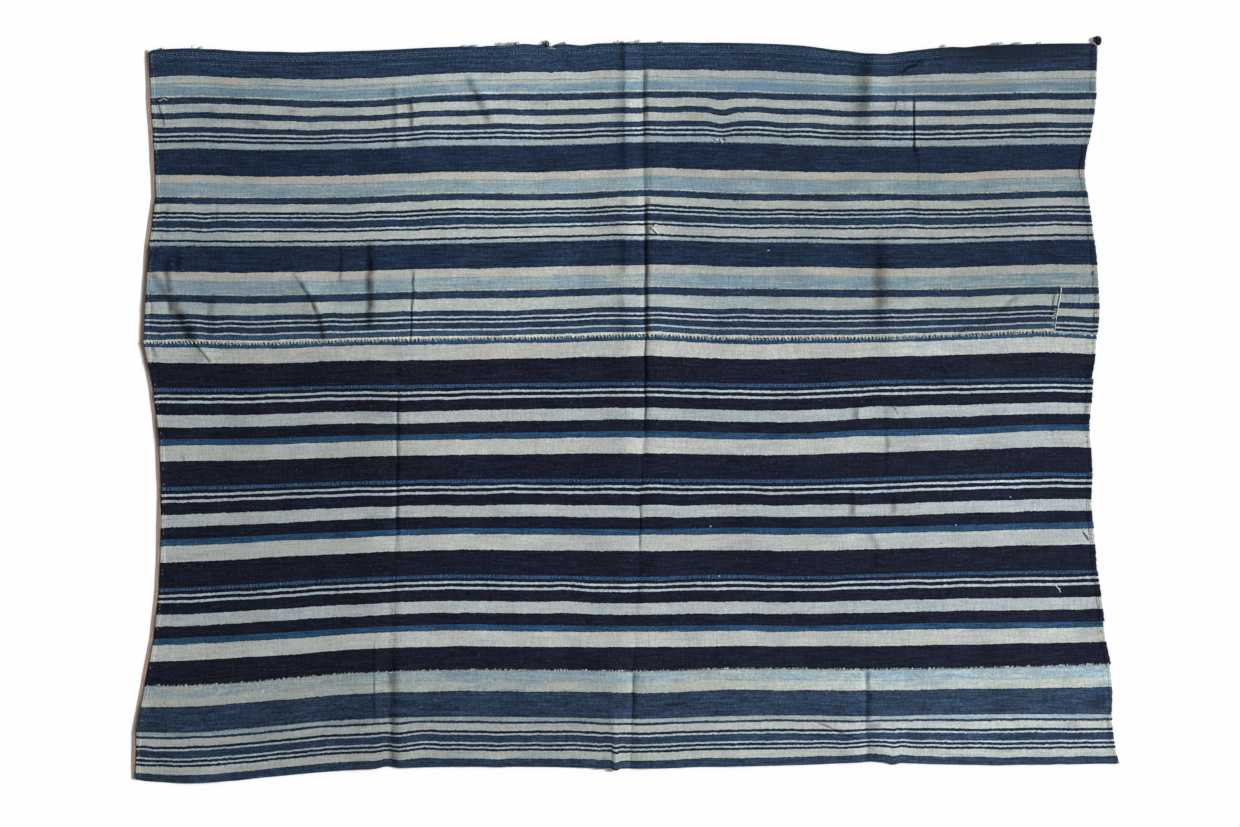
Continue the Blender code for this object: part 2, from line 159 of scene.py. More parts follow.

# Finer creases pressed into the cloth. A row lists what differs from USUAL. From the line,
# counted to the right (`across`): `left` and `right` reach of the pressed banks, `painted_shade`
# is the darkest of the shade painted into the fold, `at` across, spread `before` and `after` it,
# `painted_highlight` is a painted highlight from `painted_highlight_from` to `painted_highlight_to`,
# `bow` bends the line, `wave` lets it wander, and `jog` is how far the stripes step where they cross it.
USUAL = dict(bow=0.0, left=9, left_rise=0.0, right=8, right_rise=0.0, fade=8, painted_shade=0.3, at=0.0, before=1.0, after=1.6, painted_highlight=0.0, painted_highlight_from=-3.0, painted_highlight_to=-0.4, wave=0.45, jog=0.0)
FINE_ROWS = {
    # Centre fold, from the top.
    "crest_edge_top": dict(x0=624.9, y0=34, x1=625.3, y1=76, right_rise=0.0004, painted_shade=0.70, before=7.0, after=1.8, at=-1.6, painted_highlight=0.24, painted_highlight_from=0.6, painted_highlight_to=16.0, fade=7),
    "crest_edge": dict(x0=625.3, y0=66, x1=625.3, y1=174, right_rise=0.0004, painted_shade=0.46, before=10.0, after=0.9, at=-0.8, painted_highlight=0.20, painted_highlight_from=0.6, painted_highlight_to=16.0, fade=18),
    "centre_fold_top": dict(x0=643.0, y0=64, x1=643.2, y1=146, right=12, right_rise=0.0010, painted_shade=0.74, at=2.0, before=2.0, after=3.6, fade=13, jog=1.3),
    "centre_soft": dict(x0=643.4, y0=138, x1=643.8, y1=216, right=12, right_rise=0.0004, painted_shade=0.30, at=2.6, before=2.2, after=3.2, fade=12, jog=0.6),
    "centre_brown": dict(x0=650.8, y0=158, x1=650.4, y1=194, right_rise=0.0003, painted_shade=0.42, before=0.6, after=0.9, fade=7),
    "centre_cut": dict(x0=644.8, y0=194, x1=645.0, y1=344, right=11, right_rise=0.0012, painted_shade=0.92, at=1.7, before=1.3, after=2.9, fade=14, painted_highlight=0.14, painted_highlight_from=-5.0, painted_highlight_to=-0.2, jog=0.8, wave=0.3),
    "centre_line_a": dict(x0=645.3, y0=336, x1=644.9, y1=434, right=12, right_rise=0.0006, painted_shade=0.62, before=0.9, after=1.3, fade=9, jog=0.5),
    "centre_line_a_soft": dict(x0=647.5, y0=336, x1=647.0, y1=440, right_rise=0.0, painted_shade=0.16, before=2.5, after=7.0, fade=20),
    "centre_line_b": dict(x0=644.9, y0=428, x1=642.2, y1=470, painted_shade=0.46, before=0.8, after=1.2, fade=6, jog=0.8),
    "centre_line_c": dict(x0=642.2, y0=464, x1=640.4, y1=502, painted_shade=0.60, before=0.8, after=1.3, fade=5, jog=1.0),
    "centre_line_d": dict(x0=640.4, y0=494, x1=639.8, y1=554, right_rise=0.0005, painted_shade=0.70, before=0.9, after=1.4, fade=12, jog=1.1),
    "centre_faint": dict(x0=637.4, y0=584, x1=637, y1=618, left_rise=0.0002, right_rise=0.0005, painted_shade=0.26, before=0.8, after=1.6, fade=8),
    "crest_mark": dict(x0=624.8, y0=402, x1=625.2, y1=425, left_rise=0.0001, right_rise=0.0003, painted_shade=0.36, before=0.8, after=1.3, fade=6),
    "foot_mark": dict(x0=632.7, y0=662, x1=632.6, y1=722, right_rise=0.0009, painted_shade=0.56, at=1.2, before=1.2, after=4.8, fade=10, painted_highlight=0.20, painted_highlight_from=-5.0, painted_highlight_to=-0.2),
    "foot_soft": dict(x0=611.2, y0=738, x1=612.2, y1=774, right_rise=0.0008, painted_shade=0.60, at=0.8, before=2.4, after=2.8, fade=7),
    "foot_softer": dict(x0=610.6, y0=712, x1=610.8, y1=746, right_rise=0.0004, painted_shade=0.22, before=2.0, after=3.0, fade=10),
    "crest_edge_mid": dict(x0=624.0, y0=232, x1=624.6, y1=278, painted_shade=0.42, before=6.0, after=1.8, fade=10),
    "crest_edge_low": dict(x0=622.4, y0=286, x1=623.8, y1=340, painted_shade=0.30, before=7.0, after=2.4, fade=12),
    "beside_centre": dict(x0=721, y0=308, x1=723, y1=342, painted_shade=0.36, before=6.0, after=6.0, fade=10),
    "crest_edge_foot": dict(x0=624.6, y0=440, x1=625.4, y1=520, painted_shade=0.16, before=6.0, after=1.8, fade=18),
    # Left quarter fold and what lies beside it.
    "quarter_sharp": dict(x0=397.6, y0=382, x1=396.8, y1=548, left=14, left_rise=0.0005, right=10, right_rise=0.0010, fade=18, painted_shade=0.54, at=0.6, before=0.9, after=3.4, painted_highlight=0.12, painted_highlight_from=-5.0, painted_highlight_to=-0.2),
    "quarter_foot": dict(x0=392.4, y0=548, x1=390.2, y1=775, left=20, left_rise=0.0004, right=16, right_rise=0.0006, fade=30, painted_shade=0.30, before=3.6, after=6.0, wave=0.9),
    "quarter_upper": dict(x0=413.8, y0=266, x1=409.6, y1=344, right=9, right_rise=0.0011, painted_shade=0.76, at=0.6, before=0.8, after=1.6, painted_highlight=0.30, painted_highlight_from=-1.8, painted_highlight_to=-0.3, fade=12),
    "quarter_low": dict(x0=391.6, y0=650, x1=391.4, y1=782, painted_shade=0.68, at=0.6, before=5.0, after=7.0, fade=16, wave=1.0),
    "left_foot": dict(x0=373.5, y0=640, x1=373.5, y1=728, left=14, left_rise=0.0004, right_rise=0.0009, fade=12, painted_shade=0.40, before=0.9, after=2.8),
    "left_band": dict(x0=369.8, y0=236, x1=369.4, y1=336, left=7, left_rise=0.0, right=14, right_rise=0.0, fade=16, painted_shade=0.96, before=4.8, after=4.8, wave=0.8),
    "left_band_thin": dict(x0=340.4, y0=242, x1=340.6, y1=288, right_rise=0.0, painted_shade=0.64, before=1.6, after=1.8, fade=10),
    "left_top_a": dict(x0=395.0, y0=78, x1=395.4, y1=156, right_rise=0.0003, painted_shade=0.40, before=5.0, after=1.4, painted_highlight=0.26, painted_highlight_from=1.6, painted_highlight_to=8.0, fade=16),
    "left_top_b": dict(x0=410.0, y0=92, x1=412.4, y1=140, right_rise=0.0006, painted_shade=0.62, before=4.0, after=2.6, fade=13),
    "slack_mark": dict(x0=464, y0=72, x1=493, y1=128, right=16, right_rise=0.0006, painted_shade=0.52, before=4.5, after=5.0, fade=14, painted_highlight=0.14, painted_highlight_from=5.0, painted_highlight_to=14.0),
    # Dip and folds on the right.
    "dip_dark": dict(x0=872.0, y0=36, x1=866.4, y1=130, right_rise=0.0, painted_shade=0.62, at=-3.0, before=10.0, after=5.4, painted_highlight=0.12, painted_highlight_from=2.0, painted_highlight_to=22.0, fade=24),
    "dip_core": dict(x0=865.0, y0=44, x1=867.0, y1=138, right_rise=0.0, painted_shade=0.26, before=5.0, after=3.6, fade=12, wave=0.8),
    "dip_a": dict(x0=895.6, y0=98, x1=893.2, y1=114, bow=0.7, painted_shade=0.78, before=0.8, after=1.1, fade=4),
    "dip_a_soft": dict(x0=894.4, y0=116, x1=893.2, y1=146, painted_shade=0.28, before=2.4, after=1.6, fade=9),
    "dip_b": dict(x0=903.4, y0=80, x1=904.6, y1=138, left_rise=0.0002, right_rise=0.0004, painted_shade=0.16, before=2.0, after=3.0, fade=14),
    "dip_c": dict(x0=913.6, y0=98, x1=913.9, y1=150, right=7, right_rise=0.0012, painted_shade=0.90, at=0.2, before=0.9, after=1.1, painted_highlight=0.26, painted_highlight_from=-2.6, painted_highlight_to=-0.5, fade=5, wave=0.2),
    "dip_d": dict(x0=913.8, y0=145, x1=919.4, y1=168, painted_shade=0.60, before=1.8, after=3.0, fade=5),
    "dip_e": dict(x0=918.0, y0=164, x1=917.4, y1=192, painted_shade=0.32, before=1.2, after=2.0, fade=6),
    "dip_f": dict(x0=917.4, y0=188, x1=917.0, y1=224, left_rise=0.0002, right_rise=0.0005, painted_shade=0.20, before=1.4, after=2.4, fade=9, wave=0.9),
    "dip_pale": dict(x0=905, y0=82, x1=905, y1=148, painted_shade=0.0, painted_highlight=0.13, painted_highlight_from=-8.0, painted_highlight_to=7.0, fade=12),
    "dip_slant": dict(x0=927, y0=58.4, x1=898, y1=74.4, left=12, left_rise=0.0003, right=10, right_rise=0.0012, painted_shade=0.86, before=2.8, after=1.3, fade=7),
    "right_wide": dict(x0=878.6, y0=232, x1=879.8, y1=336, left_rise=0.0, right_rise=0.0, painted_shade=0.64, before=7.5, after=8.0, fade=20, wave=1.4),
    "right_a": dict(x0=858.8, y0=398, x1=859.2, y1=423, right_rise=0.0, painted_shade=0.62, at=-1.0, before=8.0, after=1.0, painted_highlight=0.08, painted_highlight_from=1.0, painted_highlight_to=10.0, fade=6),
    "right_a_soft": dict(x0=886.4, y0=404, x1=887.2, y1=420, right_rise=0.0, painted_shade=0.36, before=5.0, after=5.0, fade=5),
    "right_b": dict(x0=893.0, y0=404, x1=899.0, y1=415.6, bow=-0.5, right_rise=0.0, painted_shade=0.70, before=1.1, after=1.2, fade=3),
    "right_b_low": dict(x0=904.8, y0=411, x1=904.2, y1=418.4, right_rise=0.0003, painted_shade=0.40, before=0.7, after=0.8, fade=2),
    "right_c": dict(x0=886.2, y0=422, x1=886.8, y1=480, painted_shade=0.56, before=3.0, after=3.0, fade=12, wave=0.8),
    "right_d": dict(x0=854.6, y0=486, x1=854.2, y1=522, painted_shade=0.62, at=-1.6, before=6.0, after=2.4, fade=8),
    "right_e": dict(x0=894.4, y0=494, x1=892.0, y1=518, painted_shade=0.56, before=4.6, after=4.0, fade=7),
    "right_f": dict(x0=864, y0=527, x1=881, y1=552, right_rise=0.0, painted_shade=0.38, before=4.4, after=4.0, painted_highlight=0.14, painted_highlight_from=4.0, painted_highlight_to=8.0, fade=6),
    "right_g": dict(x0=875.2, y0=545, x1=874.6, y1=578, right_rise=0.0, painted_shade=0.36, before=2.6, after=2.6, fade=8),
    "right_cut": dict(x0=865.6, y0=664, x1=866.2, y1=726, right_rise=0.0006, painted_shade=0.72, at=1.8, before=1.5, after=3.4, painted_highlight=0.12, painted_highlight_from=-4.0, painted_highlight_to=-0.2, fade=10),
    "right_cut_low": dict(x0=866.6, y0=716, x1=868.4, y1=772, right_rise=0.0006, painted_shade=0.36, before=3.4, after=8.0, fade=16, wave=0.9, at=3.0),
    "right_slant_a": dict(x0=787, y0=688, x1=805, y1=718, right_rise=0.0005, painted_shade=0.24, before=2.4, after=2.6, fade=8),
    "right_slant_b": dict(x0=812, y0=720, x1=864, y1=742.5, right_rise=0.0005, painted_shade=0.82, before=1.1, after=1.2, fade=12, painted_highlight=0.10, painted_highlight_from=-4.0, painted_highlight_to=-0.4, wave=0.2),
    # Left side.
    "corner_a": dict(x0=158.4, y0=101, x1=165.8, y1=129, bow=-0.9, right=7, right_rise=0.0010, painted_shade=0.72, before=1.2, after=1.4, fade=5),
    "corner_b": dict(x0=167.4, y0=254, x1=168.4, y1=300, painted_shade=0.80, before=4.2, after=4.2, fade=11, wave=0.8),
    "corner_b_low": dict(x0=168.8, y0=296, x1=172.6, y1=320, painted_shade=0.86, before=3.6, after=11.0, painted_highlight=0.22, painted_highlight_from=-10.0, painted_highlight_to=-1.0, fade=6, right_rise=0.0),
    "corner_deep": dict(x0=177.4, y0=242, x1=178.2, y1=277, painted_shade=0.58, before=4.0, after=3.6, fade=10),
    "corner_pale": dict(x0=163.4, y0=231.6, x1=160.2, y1=241.4, right_rise=0.0003, painted_shade=0.46, before=0.8, after=0.9, fade=3),
    "corner_pale_b": dict(x0=183.2, y0=230, x1=182.8, y1=242, right_rise=0.0002, painted_shade=0.22, before=1.3, after=1.3, fade=4),
    "corner_c": dict(x0=217.4, y0=199, x1=217.2, y1=231, painted_shade=0.50, before=1.0, after=1.1, fade=7),
    "corner_d": dict(x0=168.0, y0=200, x1=167.0, y1=238, right_rise=0.0004, painted_shade=0.44, before=3.4, after=3.4, fade=10),
    "slant_a_head": dict(x0=290.8, y0=271, x1=300.4, y1=283.6, right_rise=0.0006, painted_shade=0.48, before=1.0, after=1.2, fade=4, wave=0.2),
    "slant_a": dict(x0=298.6, y0=281.2, x1=311.4, y1=299.8, right_rise=0.0010, painted_shade=0.88, before=2.5, after=3.0, fade=5, wave=0.2),
    "slant_a_low": dict(x0=310.0, y0=297.4, x1=317.6, y1=315.0, right_rise=0.0010, painted_shade=0.92, before=2.5, after=3.0, fade=4, wave=0.2),
    "slant_a_foot": dict(x0=316.4, y0=308, x1=325.0, y1=344, right_rise=0.0, painted_shade=0.88, before=3.4, after=3.4, fade=7),
    "end_slant": dict(x0=1023, y0=293, x1=976, y1=330, right_rise=0.0, painted_shade=0.44, before=3.0, after=3.6, painted_highlight=0.14, painted_highlight_from=-8.0, painted_highlight_to=-2.0, fade=10, wave=0.9),
    "end_slant_low": dict(x0=986, y0=316, x1=950, y1=337, right_rise=0.0, painted_shade=0.40, before=3.4, after=3.4, fade=9, wave=0.9),
    "slant_b_start": dict(x0=147, y0=268, x1=177, y1=310, right_rise=0.0, painted_shade=0.55, before=4.5, after=5.0, fade=12),
    "slant_b_head": dict(x0=171, y0=303, x1=197.5, y1=347.0, right_rise=0.0, painted_shade=0.95, before=7.0, after=7.0, fade=9),
    "slant_b": dict(x0=190.6, y0=339.6, x1=212.2, y1=363.6, right=7, right_rise=0.0012, painted_shade=0.82, before=1.4, after=1.6, fade=5, wave=0.2),
    "slant_soft": dict(x0=210.2, y0=292, x1=210.8, y1=350, right_rise=0.0, painted_shade=0.52, before=5.0, after=5.0, fade=14),
    "near_end": dict(x0=151.4, y0=344.6, x1=158.0, y1=359.6, right_rise=0.0004, painted_shade=0.5, before=2.4, after=2.0, fade=4),
    "near_low": dict(x0=150.2, y0=284, x1=152.6, y1=330, painted_shade=0.46, before=1.6, after=2.0, painted_highlight=0.10, painted_highlight_from=-6.0, painted_highlight_to=-1.0, fade=12, wave=0.9),
    "near_triangle": dict(x0=182.4, y0=453, x1=186.2, y1=466.6, right_rise=0.0004, painted_shade=0.50, before=1.6, after=1.4, fade=5),
    "pale_slant": dict(x0=340.6, y0=346.4, x1=348.8, y1=362.4, left_rise=0.0001, right_rise=0.0002, painted_shade=0.0, painted_highlight=0.34, painted_highlight_from=-1.8, painted_highlight_to=1.6, fade=4),
    # Where the short end is sewn on.
    "join_fold": dict(x0=1054.4, y0=291, x1=1051.4, y1=315, right=5, right_rise=0.0008, fade=5, painted_shade=0.50, before=1.4, after=1.8),
    "join_patch": dict(x0=1055.4, y0=305, x1=1056.0, y1=315, right_rise=0.0, fade=4, painted_shade=0.60, before=2.4, after=2.2),
    "end_fold": dict(x0=1078.6, y0=284, x1=1079, y1=308, left_rise=0.0002, right=6, right_rise=0.0006, fade=6, painted_shade=0.32, before=0.8, after=1.2),
}
FINE = {name: {**USUAL, **row} for name, row in FINE_ROWS.items()}


def world(x, y):
    return (x - CENTRE[0]) * UNIT, (CENTRE[1] - y) * UNIT


def seam_y(name, x):
    """The seam's height on the board at each x, on a smooth curve through its stations."""
    x = np.asarray(x, float)
    xs, ys = np.array(STATIONS, float), np.array(SEAMS[name], float)
    before, after = np.maximum(np.arange(len(xs)) - 1, 0), np.minimum(np.arange(len(xs)) + 1, len(xs) - 1)
    slope = (ys[after] - ys[before]) / (xs[after] - xs[before])
    i = np.clip(np.searchsorted(xs, x, side="left") - 1, 0, len(xs) - 2)
    run = xs[i + 1] - xs[i]
    t = (x - xs[i]) / run
    c = np.clip(t, 0, 1)
    curve = (1 + 2 * c) * (1 - c) ** 2 * ys[i] + c * (1 - c) ** 2 * run * slope[i] + c * c * (3 - 2 * c) * ys[i + 1] - c * c * (1 - c) * run * slope[i + 1]
    return curve + np.where(t < 0, slope[i] * t * run, 0) + np.where(t > 1, slope[i + 1] * (t - 1) * run, 0)


WAVES = ((0.19, 1.0), (0.52, 0.45))  # how a crease wanders: pace in radians a unit, and share


# Small bulges of the two long edges: where, how far they reach, and how far down the board.
BULGES = {
    "top_edge": ((848, 18, -1.0), (886, 15, 0.7), (551, 4.5, 2.8), (524, 14, -1.2), (582, 17, 1.6), (966, 16, 1.0), (480, 9, 0.6), (300, 24, 0.6), (205, 12, 0.5), (700, 20, 0.4)),
    "bottom_edge": ((388, 14, -2.0), (616, 6, 2.4), (600, 7, 0.8), (872, 12, -0.8), (893, 9, 2.2), (500, 18, 0.5), (700, 22, -0.5), (240, 20, 0.6), (1000, 26, 0.6), (1060, 10, -0.6)),
}


def bulged(name, x):
    total = np.zeros_like(x)
    for at, reach, down in BULGES.get(name, ()):
        total += down * bell(np.abs(x - at) / reach)
    return total


def beside(f, x, y):
    """How far right of a crease each point is, and how much of the crease is there."""
    dx, dy = f["x1"] - f["x0"], f["y1"] - f["y0"]
    length = hypot(dx, dy)
    along = ((x - f["x0"]) * dx + (y - f["y0"]) * dy) / length
    across = ((x - f["x0"]) * dy - (y - f["y0"]) * dx) / length
    for pace, share in WAVES:
        across = across + f.get("wave", 0.35) * share * np.sin(pace * along + f["x0"])
    across = across - f.get("bow", 0.0) * np.sin(pi * np.clip(along / length, 0, 1))
    end = np.clip(np.minimum(along, length - along), 0, f["fade"])
    uneven = 0.88 + 0.12 * np.sin(0.33 * along + 2 * f["x0"])
    return across, 0.5 * (1 - np.cos(pi * end / f["fade"])) * uneven


def bank(t, pinch=0.5):
    return np.where(t < 1, np.sin(pi * np.clip(t, 0, 1) ** pinch) ** 2, 0.0)


def bell(t):
    return np.where(t < 1, 0.5 * (1 + np.cos(pi * np.clip(t, 0, 1))), 0.0)


def swell(x, y, length, seed):
    """Smooth unevenness from 0 to 1, about `length` units from one swell to the next."""
    rng = np.random.default_rng(seed)
    total = np.zeros_like(x)
    for _ in range(7):
        way, phase = rng.uniform(0, pi), rng.uniform(0, 2 * pi)
        pace = 2 * pi / length * rng.uniform(0.7, 1.4)
        total += np.sin(pace * (x * cos(way) + y * sin(way)) + phase)
    return np.clip(0.5 + total / 7, 0, 1)


def rise(x, y):
    """How far the cloth's underside stands above the floor, in metres."""
    total = np.zeros_like(x)
    for f in (*CREASES.values(), *FINE.values()):
        if not (f["left_rise"] or f["right_rise"]):
            continue
        across, share = beside(f, x, y)
        right = across > 0
        reach = np.where(right, f["right"], f["left"])
        height = np.where(right, f["right_rise"], f["left_rise"])
        total += share * height * bank(np.abs(across) / reach, np.where(right, f.get("pinch", 0.42), 0.5))
    for f in RIDGES.values():
        across, share = beside(f, x, y)
        total += share * f["rise"] * bell(np.abs(across) / np.where(across > 0, f["right"], f["left"]))
    # Slack left by the weaving and the sewing.
    total += 0.0013 * swell(x, y * 1.3, 95, 3) ** 2 + 0.0007 * swell(x * 1.15, y * 0.9, 36, 8) ** 2
    return total


def line_x(crease, y):
    f = CREASES[crease]
    return f["x0"] + (f["x1"] - f["x0"]) * (y - f["y0"]) / (f["y1"] - f["y0"])


def base_columns(left, right, y):
    """Column places along a strip, closer together near the ends and the creases."""
    marks = [left, right]
    half = 24.0
    spans = []
    for f in FINE.values():
        low, high = max(min(f["y0"], f["y1"]), y - half), min(max(f["y0"], f["y1"]), y + half)
        if low < high and max(f["left_rise"], f["right_rise"]) > 0.00045:
            ends = sorted(f["x0"] + (f["x1"] - f["x0"]) * (q - f["y0"]) / (f["y1"] - f["y0"]) for q in (low, high))
            spans.append(ends)
    spans += [(line_x(n, y), line_x(n, y)) for n, f in CREASES.items() if f["y0"] < y < f["y1"]]
    xs, x = [left], left
    while x < right:
        near_end = min(x - left, right - x)
        near_line = min([max(a - x, x - b, 0.0) for a, b in spans] + [1e9])
        step = 3.6
        if near_line < 5:
            step = 0.7
        elif near_line < 12:
            step = 1.5
        if near_end < 1.6:
            step = min(step, 0.35)
        elif near_end < 7.5:
            step = min(step, 0.55)
        x += step
        xs.append(min(x, right))
    assert marks[0] < marks[1]
    return np.array(xs)


def row_places(width):
    """Places across a strip from 0 to 1, closer together near its two selvedges."""
    edge = np.array([0, 0.00035, 0.0009, 0.0018, 0.0032]) / width
    middle = np.linspace(0.0065 / width, 1 - 0.0065 / width, 13)
    return np.concatenate([edge, middle, 1 - edge[::-1]])


def strip_sheet(name, upper, lower, seed):
    """A closed thin sheet for one strip, and its flat area. The UV map counts metres along
    the strip and its share across."""
    end = ENDS[name]
    left, right = min(end["left"]), max(end["right"])
    middle = float(0.5 * (seam_y(upper, 620) + seam_y(lower, 620)))
    base = base_columns(np.mean(end["left"]), np.mean(end["right"]), middle)
    wide = float(seam_y(lower, 620) - seam_y(upper, 620)) * UNIT
    v = row_places(wide)
    X, V = np.meshgrid(base, v)
    near_left = np.clip(1 - (X - base[0]) / 40, 0, 1) ** 1.5
    near_right = np.clip(1 - (base[-1] - X) / 40, 0, 1) ** 1.5
    out_left = end["left"][0] + V * (end["left"][1] - end["left"][0])
    out_right = end["right"][0] + V * (end["right"][1] - end["right"][0]) + end["bow"] * np.sin(pi * V)
    if name not in ("strip_06",):
        ragged = 0.22 * np.sin(V * 55 + seed) + 0.16 * np.sin(V * 131 + 2 * seed)
        out_right = out_right + ragged
    X = X + (out_left - base[0]) * near_left + (out_right - base[-1]) * near_right
    for crease in CREASES:
        f = CREASES[crease]
        if f["y0"] < middle < f["y1"]:
            here = middle + (V - 0.5) * wide / UNIT
            X = X + (line_x(crease, here) - line_x(crease, middle)) * bell(np.abs(X - line_x(crease, middle)) / 30)
    gap = 0.00012 / UNIT
    up = seam_y(upper, X) + (0 if "edge" in upper else gap) + bulged(upper, X)
    low = seam_y(lower, X) - (0 if "edge" in lower else gap) + bulged(lower, X)
    Y = (1 - V) * up + V * low
    # Rounded corners of the whole throw.
    if name == "strip_01":
        corner = np.clip(1 - (X - left) / 4.5, 0, 1) * np.clip(1 - V / 0.09, 0, 1)
        Y = Y + 2.6 * corner**1.4
    if name == "strip_15":
        corner = np.clip(1 - (X - left) / 11, 0, 1) * np.clip(1 - (1 - V) / 0.14, 0, 1)
        Y = Y - 1.9 * corner**1.3

    # Thickness: hems at the ends, rounded selvedges, and a soft roll at every outer edge.
    across = np.minimum(V, 1 - V) * wide
    to_left, to_right = (X - out_left) * UNIT, (out_right - X) * UNIT
    thick = np.full_like(X, CLOTH)
    hem_left, hem_right = name != "end_piece", name != "strip_06"
    pulled = 0.00016 * np.sin(Y * 1.9 + seed) + 0.0001 * np.sin(Y * 4.3)
    if hem_left:
        at = LEFT_HEM * UNIT + 0.0012 * np.sin(Y * 0.21 + seed) * 0.5
        thick += (HEM - CLOTH + pulled) * np.clip((at - to_left) / 0.0011 + 0.5, 0, 1)
        thick -= 0.0006 * np.exp(-(((to_left - 0.0046) / 0.0007) ** 2))
    if hem_right:
        at = RIGHT_HEM * UNIT + 0.0012 * np.sin(Y * 0.23 + 2 * seed) * 0.5
        thick += (HEM - CLOTH + pulled) * np.clip((at - to_right) / 0.0011 + 0.5, 0, 1)
        thick -= 0.0006 * np.exp(-(((to_right - 0.0064) / 0.0008) ** 2))
    end_radius = 0.0013
    rough_seams = [s in ("seam_6", "seam_13", "top_edge", "bottom_edge") for s in (upper, lower)]
    rough = np.where(V < 0.5, float(rough_seams[0]), float(rough_seams[1]))
    radius = 0.0006 + 0.0005 * rough
    round_side = 1 - np.sqrt(np.clip(1 - np.clip(1 - across / radius, 0, 1) ** 2, 0, 1))
    round_side = round_side * (0.45 + 0.55 * rough)
    to_end = np.minimum(to_left, to_right)
    round_end = 1 - np.sqrt(np.clip(1 - np.clip(1 - to_end / end_radius, 0, 1) ** 2, 0, 1))
    z_low = rise(X, Y)
    top = z_low + thick * (1 - 0.42 * np.maximum(round_side, round_end))
    dimple = (0.00008 + 0.00018 * rough) * (0.5 + 0.5 * np.sin(X * 2 * pi / 4.6 + seed)) * np.exp(-((across / 0.0022) ** 2))
    top = top - dimple
    under = z_low + thick * 0.16 * np.maximum(round_side, round_end)

    wx, wy = world(X, Y)
    rows, columns = X.shape
    n = rows * columns
    co = np.concatenate([np.stack([wx, wy, top], -1).reshape(-1, 3), np.stack([wx, wy, under], -1).reshape(-1, 3)])
    index = np.arange(n).reshape(rows, columns)
    a, b, c, d = index[:-1, :-1], index[:-1, 1:], index[1:, 1:], index[1:, :-1]
    upper_faces = np.stack([d, c, b, a], -1).reshape(-1, 4)
    lower_faces = np.stack([a, b, c, d], -1).reshape(-1, 4) + n
    rim = np.concatenate([index[0, :], index[1:, -1], index[-1, -2::-1], index[-2:0:-1, 0]])
    after = np.roll(rim, -1)
    side_faces = np.stack([rim, after, after + n, rim + n], -1)
    faces = np.concatenate([upper_faces, lower_faces, side_faces])
    mesh = bpy.data.meshes.new(name + "_cloth")
    mesh.vertices.add(len(co))
    mesh.vertices.foreach_set("co", co.astype(np.float32).ravel())
    mesh.loops.add(faces.size)
    mesh.loops.foreach_set("vertex_index", faces.astype(np.int32).ravel())
    mesh.polygons.add(len(faces))
    mesh.polygons.foreach_set("loop_start", np.arange(0, faces.size, 4, dtype=np.int32))
    mesh.polygons.foreach_set("loop_total", np.full(len(faces), 4, dtype=np.int32))
    mesh.update()
    uv = mesh.uv_layers.new(name="weave")
    along = (X - 140) * UNIT
    flat_uv = np.stack([np.tile(along.ravel(), 2), np.tile(V.ravel(), 2)], -1)
    uv.data.foreach_set("uv", flat_uv[faces.ravel()].astype(np.float32).ravel())
    hem = np.zeros_like(X)
    if hem_left:
        hem = np.maximum(hem, np.clip(1.25 - to_left / (LEFT_HEM * UNIT), 0, 1))
    if hem_right:
        hem = np.maximum(hem, np.clip(1.25 - to_right / (RIGHT_HEM * UNIT), 0, 1))
    for layer, values in (("hem", hem),):
        mesh.attributes.new(name=layer, type="FLOAT", domain="POINT").data.foreach_set("value", np.tile(values.ravel(), 2).astype(np.float32))
    mesh.shade_smooth()
    area = float(np.mean((low - up)[0]) * UNIT * (np.mean(end["right"]) - np.mean(end["left"])) * UNIT)
    return mesh, area, wide


# ---------------------------------------------------------------- materials


def linear(code):
    """A colour written as rrggbb, in linear light."""
    parts = [int(code[i : i + 2], 16) / 255 for i in (0, 2, 4)]
    return tuple(p / 12.92 if p <= 0.04045 else ((p + 0.055) / 1.055) ** 2.4 for p in parts) + (1.0,)


